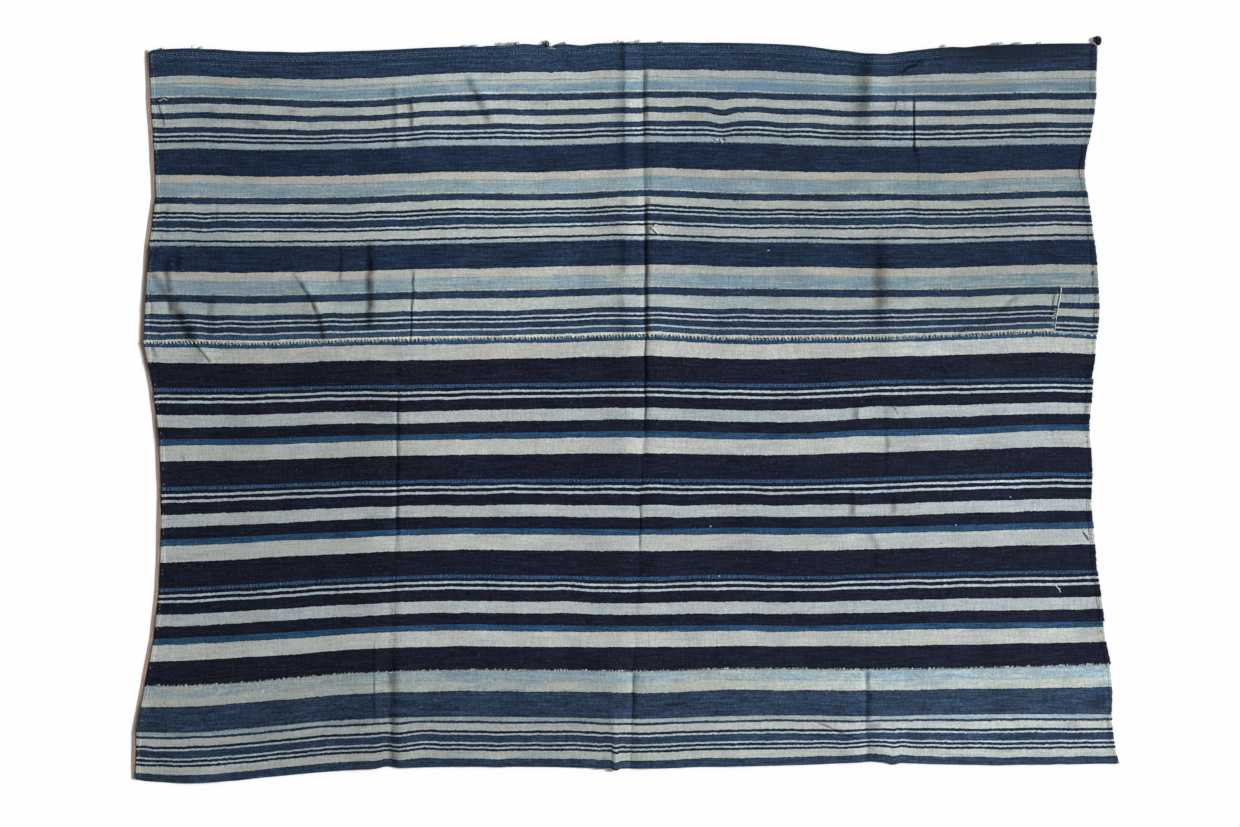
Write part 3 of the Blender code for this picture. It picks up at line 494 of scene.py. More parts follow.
# Yarn colours, and what each yarn does: how pale it is, whether it is dotted, and how far its
# dye drifts along the warp.
YARN = {
    "indigo": dict(code="283951", pale=0.0, dotted=0.0, drift=0.0),
    "picked": dict(code="2c3e56", pale=0.0, dotted=0.85, drift=0.0),
    "deep": dict(code="1e2d43", pale=0.0, dotted=0.0, drift=0.0),
    "navy": dict(code="26374d", pale=0.0, dotted=0.0, drift=0.0),
    "line": dict(code="1a2a3f", pale=0.0, dotted=0.0, drift=0.0),
    "white": dict(code="a6b4bc", pale=0.8, dotted=0.0, drift=0.1),
    "cream": dict(code="aeb4b2", pale=1.0, dotted=0.0, drift=0.45),
    "cream_line": dict(code="829092", pale=0.8, dotted=0.0, drift=0.2),
    "warm": dict(code="b0b0aa", pale=1.0, dotted=0.0, drift=0.35),
    "light": dict(code="879ba4", pale=0.8, dotted=0.0, drift=0.9),
    "light_low": dict(code="768f9e", pale=0.8, dotted=0.0, drift=0.8),
    "drifting": dict(code="9eaba9", pale=0.9, dotted=0.0, drift=1.0),
    "pale": dict(code="96a5ac", pale=0.9, dotted=0.0, drift=0.45),
    "pale_cream": dict(code="abb4b3", pale=1.0, dotted=0.0, drift=0.5),
    "edge": dict(code="b8c1c0", pale=0.9, dotted=0.0, drift=0.1),
    "soft_navy": dict(code="314459", pale=0.1, dotted=0.35, drift=0.0),
    "black": dict(code="191c2b", pale=0.0, dotted=0.0, drift=0.0),
    "blue": dict(code="264766", pale=0.1, dotted=0.12, drift=0.0),
    "dots": dict(code="1f3b5a", pale=0.1, dotted=0.85, drift=0.0),
    "mid_cream": dict(code="b7bbb9", pale=1.0, dotted=0.0, drift=0.35),
    "mid_pale": dict(code="aeb6b9", pale=1.0, dotted=0.0, drift=0.40),
    "mid_white": dict(code="abb9c4", pale=0.8, dotted=0.0, drift=0.1),
    "mid_navy": dict(code="2c3d53", pale=0.0, dotted=0.0, drift=0.0),
    "low_light": dict(code="95a9b2", pale=0.8, dotted=0.0, drift=0.8),
    "low_cream": dict(code="acb4b1", pale=1.0, dotted=0.0, drift=0.9),
    "teeth": dict(code="c2c6c0", pale=0.9, dotted=0.0, drift=0.1),
}

# Stripes across each strip, from its upper seam to its lower one: yarn and width in units.
DESIGNS = {
    "wide_top": (("indigo", 3.6), ("picked", 1.1), ("indigo", 1.1), ("picked", 1.0), ("indigo", 1.3), ("picked", 1.1), ("indigo", 4.7), ("picked", 0.9), ("indigo", 12.2), ("cream", 6.6), ("cream_line", 1.0), ("drifting", 3.2), ("light_low", 8.8), ("edge", 1.4)),
    "fine_a": (("navy", 6.8), ("cream", 8.6), ("navy", 6.2), ("cream", 8.2), ("navy", 6.0), ("white", 1.8), ("line", 2.9), ("white", 1.8), ("line", 3.0), ("pale", 6.2)),
    "wide_deep": (("deep", 26.0), ("warm", 7.4), ("cream_line", 0.8), ("light", 12.2), ("edge", 1.0)),
    "fine_b": (("navy", 6.6), ("cream", 8.0), ("line", 2.7), ("white", 1.6), ("line", 2.7), ("white", 1.6), ("navy", 7.4), ("white", 1.8), ("line", 2.4), ("cream", 7.8), ("line", 2.5), ("pale", 3.5)),
    "wide_deep_b": (("deep", 25.5), ("warm", 8.2), ("light", 13.2), ("edge", 1.1)),
    "fine_c": (("navy", 7.8), ("pale_cream", 11.8), ("navy", 5.6), ("white", 1.7), ("line", 3.1), ("white", 1.8), ("navy", 6.2), ("white", 1.7), ("soft_navy", 5.6), ("teeth", 3.8)),
    "short_end": (("navy", 7.0), ("pale", 8.6), ("navy", 6.4), ("pale_cream", 7.8), ("navy", 6.0), ("white", 2.0), ("navy", 3.2), ("white", 1.6), ("line", 2.7), ("white", 1.6)),
    "blue_black": (("blue", 4.6), ("mid_cream", 15.4), ("black", 25)),
    "blue_black_b": (("blue", 6.6), ("mid_cream", 15.6), ("black", 25.3)),
    "pale_black": (("dots", 3.3), ("black", 3.5), ("mid_white", 2.2), ("black", 3.7), ("mid_white", 2.3), ("black", 12.3), ("mid_pale", 12), ("black", 12)),
    "low_wide": (("teeth", 0.5), ("low_light", 10.7), ("low_cream", 8.8), ("mid_navy", 25.5)),
    "low_fine": (("pale", 4.0), ("mid_navy", 2.4), ("cream", 7.2), ("line", 2.7), ("white", 1.7), ("mid_navy", 7.5), ("white", 1.7), ("line", 2.8), ("white", 1.6), ("line", 2.7), ("cream", 7.6), ("mid_navy", 8.4)),
}

STRIPS = {
    "strip_01": "wide_top",
    "strip_02": "fine_a",
    "strip_03": "wide_deep",
    "strip_04": "fine_b",
    "strip_05": "wide_deep_b",
    "strip_06": "fine_c",
    "end_piece": "short_end",
    "strip_07": "blue_black",
    "strip_08": "pale_black",
    "strip_09": "blue_black_b",
    "strip_10": "pale_black",
    "strip_11": "blue_black_b",
    "strip_12": "pale_black",
    "strip_13": "blue_black_b",
    "strip_14": "low_wide",
    "strip_15": "low_fine",
}

# Stains on a strip, and some marks of painted shade noted below: where on the board, how far they reach, how strong,
# and their colour.
STAINS_AND_SHADE = {
    "strip_01": ((1014, 47, 118, 24, 0.85, "1d212d"), (990, 86, 90, 7, 0.46, "687f8c"), (758, 86, 70, 8, 0.55, "6d93b0"), (887, 58.5, 3.6, 3.6, 0.60, "533629"), (226, 81, 16, 4, 0.36, "c2a583"), (988, 82, 20, 5, 0.30, "c4b48f"), (818, 83, 5, 2.6, 0.40, "bfb288"), (350, 76, 40, 5, 0.24, "c2b494"), (600, 76, 22, 5, 0.30, "bfae8c")),
    # On strip 2, the dark marks at x 213, 257, 264, 292 and 312 are painted shade of small wrinkles.
    "strip_02": ((693.5, 116.5, 10, 4.6, 0.50, "a8997c"), (1050, 108, 16, 4, 0.26, "c4b48f"), (213, 110.5, 7, 3.6, 0.34, "6e6458"), (292, 111, 8, 4.2, 0.42, "7d675e"), (257, 123.6, 5, 2.8, 0.42, "66665f"), (264, 126.4, 5, 2.4, 0.40, "66665f"), (312, 124, 4.5, 4, 0.34, "74716a"), (803.5, 104, 3.6, 4, 0.30, "8d7f70"), (600, 124, 16, 4, 0.26, "c2ac8a")),
    "strip_03": ((215, 188, 95, 7, 0.24, "7890a4"), (975, 178, 38, 4, 0.24, "c4aa98"), (620, 174, 26, 4, 0.20, "c4aa98"), (664, 172, 16, 4, 0.20, "c4aa98"), (178, 180, 26, 4, 0.24, "c2a993"), (842, 177, 16, 4, 0.26, "c0a48c")),
    # On strip 4, the brown marks at x 649 sit in the centre crease's core: partly brown stain, partly painted shade.
    "strip_04": ((768, 216, 3.0, 2.0, 0.30, "d6cfbe"), (649, 202, 2.6, 6, 0.55, "76583c"), (649, 229, 2.4, 5, 0.40, "82694a"), (176, 207, 22, 4, 0.22, "bfae98"), (624, 202, 4, 3.4, 0.40, "8c7c62")),
    # On strip 5, the brown mark at x 649.5 sits in the centre crease's core: partly brown stain, partly painted shade.
    "strip_05": ((215, 287, 95, 7, 0.24, "7890a4"), (440, 268, 110, 6, 0.45, "a6b2b4"), (182, 277, 26, 3.6, 0.24, "c4b09c"), (649.5, 275, 2.2, 4.5, 0.50, "8a6240"), (622, 271, 5, 3.4, 0.30, "b09480")),
    "strip_06": ((880, 302, 14, 5, 0.25, "c0b08d"), (577, 304, 8, 5, 0.26, "c2ad90"), (620, 303, 5, 5, 0.30, "8d8a94")),
    "strip_07": ((300, 352, 90, 9, 0.20, "c0ad98"), (500, 354, 70, 8, 0.18, "c1ab96"), (262.4, 358.3, 1.0, 1.0, 0.7, "6d4c36")),
    "strip_10": ((595, 492, 7, 4, 0.30, "c7a68e"),),
    "strip_14": ((752, 642, 80, 9, 0.50, "a9a99e"), (1010, 662, 90, 8, 0.45, "9ab0c0"), (875, 724, 10, 5, 0.45, "3b3336"), (560, 684, 30, 5, 0.30, "c3b794"), (690, 684, 34, 4, 0.22, "c2b498"), (1070, 727, 5, 4, 0.35, "5a5668"), (1098, 703, 10, 9, 0.45, "131b2a"), (1065, 677, 4, 7, 0.30, "6f8795"), (178, 689, 30, 5, 0.34, "b0a48f"), (206, 676, 12, 4, 0.30, "a89e8c")),
    "strip_15": ((875, 726, 9, 5, 0.35, "413a3a"), (1072, 726, 11, 6, 0.30, "6a6676")),
}

# Where a strip's stripes sag between its seams: x, how far it reaches, and how far down.
SAGS = {
    "strip_01": ((722, 18, 0.9), (765, 26, -0.5)),
    "strip_02": ((722, 17, 2.7), (690, 26, -0.7), (756, 28, -1.4), (812, 26, -1.1), (500, 24, -0.8), (312, 22, 0.7)),
    "strip_04": ((600, 30, 0.6), (905, 26, -0.8), (205, 16, 0.7)),
    "strip_06": ((742, 24, -0.8), (214, 18, 1.0), (330, 16, -0.8), (905, 22, 0.8)),
    "strip_08": ((880, 22, -0.8), (405, 18, 0.6)),
    "strip_10": ((640, 16, 0.7), (866, 20, 0.6)),
    "strip_12": ((560, 30, -0.5), (940, 28, 0.5)),
    "strip_15": ((398, 16, 1.2), (424, 20, -1.1), (845, 22, 0.9), (890, 20, -0.7)),
}

# Ragged selvedges: notches or teeth along a seam, `depth` units deep and a `pitch` apart, and
# the colour of the neighbour's yarn that shows in them.
TEETH = {
    "strip_06": dict(side="lower", pitch=3.7, depth=3.0, colour="162438", lean=1.0, least=0.45),
    "strip_07": dict(side="upper", pitch=3.7, depth=2.4, colour="b4bbb8", lean=-1.0, least=0.35),
    "strip_13": dict(side="lower", pitch=3.7, depth=2.7, colour="aab6b7", lean=1.0, least=0.5),
    "strip_14": dict(side="upper", pitch=4.4, depth=1.3, colour="1d2232", lean=-1.0, least=0.1),
    "strip_01": dict(side="lower", pitch=5.3, depth=1.0, colour="1d2c44", lean=1.0, least=0.0),
    "strip_02": dict(side="lower", pitch=6.1, depth=1.1, colour="1c2a40", lean=-1.0, least=0.0),
    "strip_03": dict(side="lower", pitch=4.7, depth=1.2, colour="1f3049", lean=1.0, least=0.0),
    "strip_04": dict(side="lower", pitch=5.1, depth=1.0, colour="1c2a40", lean=1.0, least=0.0),
    "strip_05": dict(side="lower", pitch=4.9, depth=1.2, colour="1f3049", lean=1.0, least=0.0),
}


# How much light the yarn gives back along the throw, at each place `x`: a painted light falloff,
# lower on the left where less light falls; and how far its pale yarn leans to cream (above 0) or to
# blue, partly dye and partly painted light.
LIGHT_FALLOFF = {
    "top": (dict(x=140, light=0.86, lean=-0.06), dict(x=260, light=0.86, lean=-0.07), dict(x=520, light=1.16, lean=0.04), dict(x=750, light=1.00, lean=-0.09), dict(x=990, light=0.95, lean=0.03), dict(x=1120, light=0.95, lean=0.04)),
    "middle": (dict(x=140, light=0.80, lean=0.0), dict(x=260, light=0.80, lean=0.0), dict(x=520, light=1.02, lean=0.02), dict(x=750, light=1.06, lean=0.0), dict(x=990, light=1.16, lean=-0.11), dict(x=1120, light=1.18, lean=-0.10)),
    "low": (dict(x=140, light=0.76, lean=0.03), dict(x=260, light=0.76, lean=0.02), dict(x=520, light=0.86, lean=-0.07), dict(x=640, light=1.00, lean=0.07), dict(x=750, light=1.14, lean=0.18), dict(x=990, light=1.34, lean=-0.09), dict(x=1120, light=1.38, lean=-0.06)),
}


class Graph:
    """A material's nodes, built from short calls."""

    def __init__(self, name):
        self.mat = bpy.data.materials.new(name)
        self.mat.use_nodes = True
        self.nodes = self.mat.node_tree.nodes
        self.links = self.mat.node_tree.links
        self.shader = self.nodes["Principled BSDF"]

    def put(self, socket, value):
        if isinstance(value, bpy.types.NodeSocket):
            self.links.new(value, socket)
        else:
            socket.default_value = value

    def math(self, kind, a, b=0.0, c=None):
        node = self.nodes.new("ShaderNodeMath")
        node.operation = kind
        for socket, value in zip(node.inputs, (a, b, c)):
            if value is not None:
                self.put(socket, value)
        return node.outputs[0]

    def sum(self, *terms):
        total = terms[0]
        for t in terms[1:]:
            total = self.math("ADD", total, t)
        return total

    def point(self, x, y, z=0.0):
        node = self.nodes.new("ShaderNodeCombineXYZ")
        for socket, value in zip(node.inputs, (x, y, z)):
            self.put(socket, value)
        return node.outputs[0]

    def noise(self, x, y, z, detail=2.0, rough=0.5):
        """Noise from about 0.2 to 0.8, at the point's own scale."""
        node = self.nodes.new("ShaderNodeTexNoise")
        node.noise_dimensions = "3D"
        self.put(node.inputs["Vector"], self.point(x, y, z))
        node.inputs["Scale"].default_value = 1.0
        node.inputs["Detail"].default_value = detail
        node.inputs["Roughness"].default_value = rough
        return node.outputs["Fac"]

    def span(self, value, low, high, to_low=0.0, to_high=1.0, smooth=False):
        node = self.nodes.new("ShaderNodeMapRange")
        node.clamp = True
        if smooth:
            node.interpolation_type = "SMOOTHSTEP"
        for socket, v in zip(node.inputs, (value, low, high, to_low, to_high)):
            self.put(socket, v)
        return node.outputs[0]

    def mix(self, share, a, b, kind="MIX"):
        node = self.nodes.new("ShaderNodeMix")
        node.data_type, node.blend_type = "RGBA", kind
        self.put(node.inputs[0], share)
        self.put(node.inputs[6], a)
        self.put(node.inputs[7], b)
        return node.outputs[2]

    def scale(self, colour, factor):
        """The colour times a number."""
        node = self.nodes.new("ShaderNodeVectorMath")
        node.operation = "SCALE"
        self.put(node.inputs[0], colour[:3] if isinstance(colour, tuple) else colour)
        self.put(node.inputs["Scale"], factor)
        return node.outputs[0]

    def vector(self, kind, a, b):
        node = self.nodes.new("ShaderNodeVectorMath")
        node.operation = kind
        self.put(node.inputs[0], a)
        self.put(node.inputs[1], b)
        return node.outputs[0]

    def attribute(self, name):
        node = self.nodes.new("ShaderNodeAttribute")
        node.attribute_name = name
        return node.outputs["Fac"]

    def ramp(self, value, stops, between="CONSTANT"):
        node = self.nodes.new("ShaderNodeValToRGB")
        ramp = node.color_ramp
        ramp.interpolation = between
        while len(ramp.elements) > 1:
            ramp.elements.remove(ramp.elements[-1])
        for i, (at, colour) in enumerate(stops):
            element = ramp.elements[0] if i == 0 else ramp.elements.new(at)
            element.position = at
            element.color = colour
        self.put(node.inputs[0], value)
        return node.outputs[0]


def stops_of(name):
    """The strip's stripes as (place, yarn) from a little above its upper seam, where the next
    strip's last yarn shows between the teeth of the weave, to a little below its lower one."""
    bands = DESIGNS[STRIPS[name]]
    total = sum(w for _, w in bands)
    order = [n for n in STRIPS if n != "end_piece"]
    i = order.index("strip_06" if name == "end_piece" else name)
    first = DESIGNS[STRIPS[order[i - 1]]][-1][0] if i else bands[0][0]
    last = DESIGNS[STRIPS[order[i + 1]]][0][0] if i + 1 < len(order) else bands[-1][0]
    places, place = [(0.0, first)], MARGIN
    for yarn, w in bands:
        places.append((place, yarn))
        place += w / total * (1 - 2 * MARGIN)
    return places + [(1 - MARGIN, last)], total


MARGIN = 0.04  # of the colour ramp, at each end


def folds_on(name):
    """The fine creases that cross a strip."""
    upper, lower = lines_of(name)
    left, right = min(ENDS[name]["left"]), max(ENDS[name]["right"])
    found = {}
    for key, f in FINE.items():
        middle = 0.5 * (f["x0"] + f["x1"])
        top, foot = float(seam_y(upper, middle)), float(seam_y(lower, middle))
        if max(min(f["y0"], f["y1"]), top) < min(max(f["y0"], f["y1"]), foot) and left < middle < right:
            found[key] = f
    return found


def woven(name, seed, wide):
    """Warp-striped plain weave for one strip."""
    g = Graph(name + "_weave")
    uv = g.nodes.new("ShaderNodeUVMap")
    uv.uv_map = "weave"
    parts = g.nodes.new("ShaderNodeSeparateXYZ")
    g.links.new(uv.outputs[0], parts.inputs[0])
    u, v = parts.outputs[0], parts.outputs[1]
    s = g.math("MULTIPLY", v, wide)  # metres across

    def at_scale(along, across, turn, detail=2.0, rough=0.5):
        return g.noise(g.math("MULTIPLY", u, along), g.math("MULTIPLY", s, across), seed * turn, detail, rough)

    def centred(value, reach):
        return g.math("MULTIPLY", g.math("SUBTRACT", value, 0.5), reach)

    places, total = stops_of(name)
    unit = 1.0 / total  # one of the table's units, as a share of the strip

    # The warp wanders a little, more so near the left hem, and its edges are nicked by the weft.
    ends = g.span(u, 0.006, 0.045, 2.4, 1.0)
    wander = g.math("ADD", centred(at_scale(9.0, 7.0, 3.1, 1.0), 2.6 * unit), centred(at_scale(33.0, 22.0, 1.7, 1.0), 1.5 * unit))
    nick = at_scale(300.0, 170.0, 5.3, 2.0, 0.75)
    hold = g.span(g.math("MINIMUM", v, g.math("SUBTRACT", 1.0, v)), 0.0, 0.06, 0.25, 1.0)
    shift = g.math("MULTIPLY", wander, ends)

    # The fine creases: where each point is across and along them, in units.
    x = g.math("MULTIPLY_ADD", u, 1 / UNIT, 140.0)
    upper, lower = lines_of(name)
    painted_shade, painted_highlight = 0.0, 0.0
    for f in folds_on(name).values():
        middle = 0.5 * (f["x0"] + f["x1"])
        top, foot = float(seam_y(upper, middle)), float(seam_y(lower, middle))
        dx, dy = f["x1"] - f["x0"], f["y1"] - f["y0"]
        length = hypot(dx, dy)
        y = g.math("MULTIPLY_ADD", v, foot - top, top)
        along = g.math("MULTIPLY_ADD", x, dx / length, g.math("MULTIPLY_ADD", y, dy / length, -(f["x0"] * dx + f["y0"] * dy) / length))
        across = g.math("MULTIPLY_ADD", x, dy / length, g.math("MULTIPLY_ADD", y, -dx / length, (f["y0"] * dx - f["x0"] * dy) / length))
        for pace, share in WAVES:
            across = g.math("MULTIPLY_ADD", g.math("SINE", g.math("MULTIPLY_ADD", along, pace, f["x0"])), f["wave"] * share, across)
        if f["bow"]:
            across = g.math("MULTIPLY_ADD", g.math("SINE", g.span(along, 0.0, length, 0.0, pi)), -f["bow"], across)
        near = g.span(g.math("MINIMUM", along, g.math("SUBTRACT", length, along)), 0.0, f["fade"], 0.0, 1.0, True)
        near = g.math("MULTIPLY", near, g.math("MULTIPLY_ADD", g.math("SINE", g.math("MULTIPLY_ADD", along, 0.33, 2 * f["x0"])), 0.14, 0.86))
        # Painted shade: a darker band of yarn beside each crease.
        if f["painted_shade"]:
            shade_band = g.math("MULTIPLY", g.span(across, f["at"] - 1.25 * f["before"], f["at"], 0.0, 1.0, True), g.span(across, f["at"] + 1.6 * f["after"], f["at"], 0.0, 1.0, True))
            painted_shade = g.math("MAXIMUM", painted_shade, g.math("MULTIPLY", g.math("MULTIPLY", shade_band, near), f["painted_shade"]))
        # Painted highlight: a paler band of yarn beside the crease.
        if f["painted_highlight"]:
            soft = min(1.2, 0.4 * (f["painted_highlight_to"] - f["painted_highlight_from"]))
            highlight_band = g.math("MULTIPLY", g.span(across, f["painted_highlight_from"] - soft, f["painted_highlight_from"] + soft, 0.0, 1.0, True), g.span(across, f["painted_highlight_to"] + 0.4, f["painted_highlight_to"] - soft, 0.0, 1.0, True))
            painted_highlight = g.math("MAXIMUM", painted_highlight, g.math("MULTIPLY", g.math("MULTIPLY", highlight_band, near), f["painted_highlight"]))
        if f["jog"]:
            stepped = g.math("MULTIPLY", g.span(across, -4.0, 4.5, -0.5, 0.5, True), g.span(g.math("ABSOLUTE", across), 3.0, 34.0, 1.0, 0.0, True))
            shift = g.math("MULTIPLY_ADD", g.math("MULTIPLY", stepped, near), f["jog"] * unit, shift)

    for at_x, reach, down in SAGS.get(name, ()):
        slack = g.span(g.math("ABSOLUTE", g.math("SUBTRACT", x, at_x)), 0.0, reach, 1.0, 0.0, True)
        across_it = g.math("MULTIPLY", g.math("MULTIPLY", v, g.math("SUBTRACT", 1.0, v)), 4.0)
        shift = g.math("MULTIPLY_ADD", g.math("MULTIPLY", slack, across_it), -down * unit, shift)
    shift = g.math("ADD", g.math("MULTIPLY", shift, hold), centred(nick, 2.4 * unit))
    at = g.span(g.math("ADD", v, shift), -MARGIN / (1 - 2 * MARGIN), 1 + MARGIN / (1 - 2 * MARGIN))

    colours = [(place, linear(YARN[yarn]["code"])) for place, yarn in places]
    habits = [(place, (YARN[yarn]["pale"], YARN[yarn]["dotted"], YARN[yarn]["drift"], 1.0)) for place, yarn in places]
    base = g.ramp(at, colours)
    split = g.nodes.new("ShaderNodeSeparateColor")
    g.links.new(g.ramp(at, habits), split.inputs[0])
    pale, dotted, airy = split.outputs
    dark = g.math("SUBTRACT", 1.0, pale)
    # Each dark stripe's edge is a little deeper, where its outermost ends are packed.
    step = 1.1 * unit * (1 - 2 * MARGIN)
    beyond = g.mix(0.5, g.ramp(g.math("SUBTRACT", at, step), colours), g.ramp(g.math("ADD", at, step), colours))
    sharper = g.vector("MAXIMUM", g.vector("ADD", base, g.scale(g.vector("SUBTRACT", base, beyond), 0.30)), g.scale(base, 0.78))
    base = g.mix(g.span(pale, 0.2, 0.7, 1.0, 0.22), base, sharper)

    def swing(value, when_dark, when_pale):
        """A factor about 1: the noise swings further on dark yarn."""
        reach = g.math("ADD", g.math("MULTIPLY", dark, when_dark), g.math("MULTIPLY", pale, when_pale))
        return g.math("MULTIPLY_ADD", g.math("SUBTRACT", value, 0.5), reach, 1.0)

    # Yarn: long streaks along the warp, short bars along the weft, mottling and a fine grain.
    streak = at_scale(13.0, 300.0, 2.3, 2.0, 0.6)
    streak_fine = at_scale(34.0, 620.0, 4.9, 1.0)
    bar = at_scale(430.0, 46.0, 6.1, 2.0, 0.6)
    grain = at_scale(470.0, 430.0, 7.7, 2.0, 0.75)
    mottle = at_scale(230.0, 260.0, 4.3, 1.0)
    cloud = at_scale(13.0, 17.0, 9.1, 2.0)
    factor = swing(streak, 1.45, 0.34)
    for value, a, b in ((streak_fine, 1.9, 0.34), (bar, 1.1, 0.46), (grain, 2.4, 0.66), (mottle, 1.3, 0.46), (cloud, 0.60, 0.30)):
        factor = g.math("MULTIPLY", factor, swing(value, a, b))
    part = "low" if name in ("strip_14", "strip_15") else "top" if name == "end_piece" or name < "strip_07" else "middle"
    # Painted light falloff: the yarn's brightness follows the falloff table along the throw.
    tone_and_falloff = g.nodes.new("ShaderNodeSeparateColor")
    g.links.new(g.ramp(g.span(x, 140.0, 1120.0), [((w["x"] - 140.0) / 980.0, (0.5 * w["light"], 0.5 + w["lean"], 0.0, 1.0)) for w in LIGHT_FALLOFF[part]], "EASE"), tone_and_falloff.inputs[0])
    factor = g.math("MULTIPLY", factor, g.math("MULTIPLY", tone_and_falloff.outputs[0], 2.0))
    factor = g.math("MAXIMUM", factor, 0.22)
    colour = g.scale(base, factor)

    # Dye: pale yarn drifts between blue and cream in streaks, dark yarn between teal and violet.
    # The pale yarn's lean from the falloff table joins the tint here: partly painted light.
    tint = g.sum(at_scale(15.0, 52.0, 1.3, 3.0, 0.6), centred(streak, 0.45), centred(at_scale(3.4, 9.0, 8.3, 1.0), 0.50), g.math("SUBTRACT", tone_and_falloff.outputs[1], 0.5))
    colour = g.mix(g.math("MULTIPLY", airy, g.span(tint, 0.48, 0.72, 0.0, 0.55, True)), colour, g.scale(linear("aeb2a7"), factor))
    colour = g.mix(g.math("MULTIPLY", airy, g.span(tint, 0.50, 0.30, 0.0, 0.60, True)), colour, g.scale(linear("7694a5"), factor))
    blush = at_scale(21.0, 40.0, 3.3, 2.0)
    colour = g.mix(g.math("MULTIPLY", g.span(pale, 0.92, 1.0), g.span(blush, 0.50, 0.72, 0.0, 0.09, True)), colour, g.mix(1.0, colour, (1.10, 0.96, 0.88, 1.0), "MULTIPLY"))
    hue = at_scale(70.0, 110.0, 2.9, 2.0)
    strong = g.span(pale, 0.0, 1.0, 1.0, 0.26)
    colour = g.mix(g.math("MULTIPLY", strong, g.span(hue, 0.54, 0.74, 0.0, 0.55, True)), colour, g.mix(1.0, colour, (0.84, 1.09, 1.00, 1.0), "MULTIPLY"))
    colour = g.mix(g.math("MULTIPLY", strong, g.span(hue, 0.46, 0.26, 0.0, 0.50, True)), colour, g.mix(1.0, colour, (1.15, 0.96, 1.00, 1.0), "MULTIPLY"))

    wide_hue = at_scale(8.0, 95.0, 4.1, 2.0, 0.6)
    colour = g.mix(g.math("MULTIPLY", strong, g.span(wide_hue, 0.53, 0.70, 0.0, 0.60, True)), colour, g.mix(1.0, colour, (0.84, 1.02, 1.14, 1.0), "MULTIPLY"))
    colour = g.mix(g.math("MULTIPLY", strong, g.span(wide_hue, 0.47, 0.30, 0.0, 0.60, True)), colour, g.mix(1.0, colour, (1.12, 0.94, 0.88, 1.0), "MULTIPLY"))

    # Painted light falloff on the dark yarn: lifted towards the right, where more light falls.
    dark_falloff = g.math("MULTIPLY", dark, g.span(x, 420.0, 1050.0, 0.0, 1.0))
    colour = g.vector("ADD", colour, g.scale((0.0034, 0.0042, 0.0070) if part == "low" else (0.0024, 0.0029, 0.0052), g.math("MULTIPLY", dark_falloff, g.span(grain, 0.3, 0.7, 0.5, 1.5))))

    # Dotted yarn, where the pale weft shows at every few picks.
    beat = g.math("SINE", g.math("ADD", g.math("MULTIPLY", u, 2 * pi / 0.0046), centred(at_scale(60.0, 90.0, 3.7, 1.0), 22.0)))
    dot = g.math("MULTIPLY", g.span(beat, 0.1, 0.9, 0.0, 1.0, True), g.span(grain, 0.38, 0.55, 0.2, 1.0))
    colour = g.mix(g.math("MULTIPLY", dotted, g.math("MULTIPLY", dot, 0.56)), colour, linear("6f92b4"))

    # Slubs: short thin pale marks along dark yarn, specks of weft, and dark flecks on pale yarn.
    slub = at_scale(80.0, 620.0, 5.9, 1.0)
    colour = g.mix(g.math("MULTIPLY", dark, g.span(slub, 0.73, 0.82, 0.0, 0.26, True)), colour, linear("6a7f95"))
    speck = at_scale(330.0, 400.0, 1.9, 1.0)
    colour = g.mix(g.math("MULTIPLY", dark, g.span(speck, 0.70, 0.80, 0.0, 0.40, True)), colour, linear("6d8097"))
    fleck = at_scale(240.0, 420.0, 8.9, 1.0)
    colour = g.mix(g.math("MULTIPLY", pale, g.span(fleck, 0.29, 0.20, 0.0, 0.42, True)), colour, linear("59646c"))

    for sx, sy, reach_x, reach_y, strength, stain_and_shade in STAINS_AND_SHADE.get(name, ()):
        v0 = float((sy - seam_y(upper, sx)) / (seam_y(lower, sx) - seam_y(upper, sx)))
        du = g.math("DIVIDE", g.math("SUBTRACT", x, sx), reach_x)
        dv = g.math("DIVIDE", g.math("SUBTRACT", v, v0), reach_y * UNIT / wide)
        far = g.math("SQRT", g.math("ADD", g.math("MULTIPLY", du, du), g.math("MULTIPLY", dv, dv)))
        far = g.math("ADD", far, centred(grain, 1.0))
        there = g.span(far, 1.2, 0.2, 0.0, strength, True)
        light = linear(stain_and_shade)[1] > 0.1  # light stains show on pale yarn only
        colour = g.mix(g.math("MULTIPLY", there, pale) if light else there, colour, linear(stain_and_shade))

    # Notches and teeth of a ragged selvedge, each on a slant.
    if name in TEETH:
        t = TEETH[name]
        from_seam = g.math("MULTIPLY", g.math("SUBTRACT", 1.0, v) if t["side"] == "lower" else v, wide / UNIT)
        beat = g.math("ADD", g.math("ADD", g.math("DIVIDE", x, t["pitch"]), centred(at_scale(55.0, 3.0, 6.7, 2.0), 5.0)), g.math("MULTIPLY", from_seam, 0.16 * t["lean"]))
        cell = g.nodes.new("ShaderNodeTexWhiteNoise")
        cell.noise_dimensions = "1D"
        g.put(cell.inputs["W"], g.math("FLOOR", beat))
        saw = g.math("FRACT", g.math("MULTIPLY", beat, t["lean"]))
        cut = g.math("MULTIPLY", g.math("MULTIPLY", g.math("POWER", saw, 1.2), g.span(cell.outputs["Value"], 0.1, 1.0, t["least"], 1.0)), t["depth"])
        cut = g.math("ADD", cut, centred(grain, 0.35 * t["depth"]))
        colour = g.mix(g.span(g.math("SUBTRACT", cut, from_seam), -0.1, 0.35, 0.0, 0.92, True), colour, g.scale(linear(t["colour"]), factor))

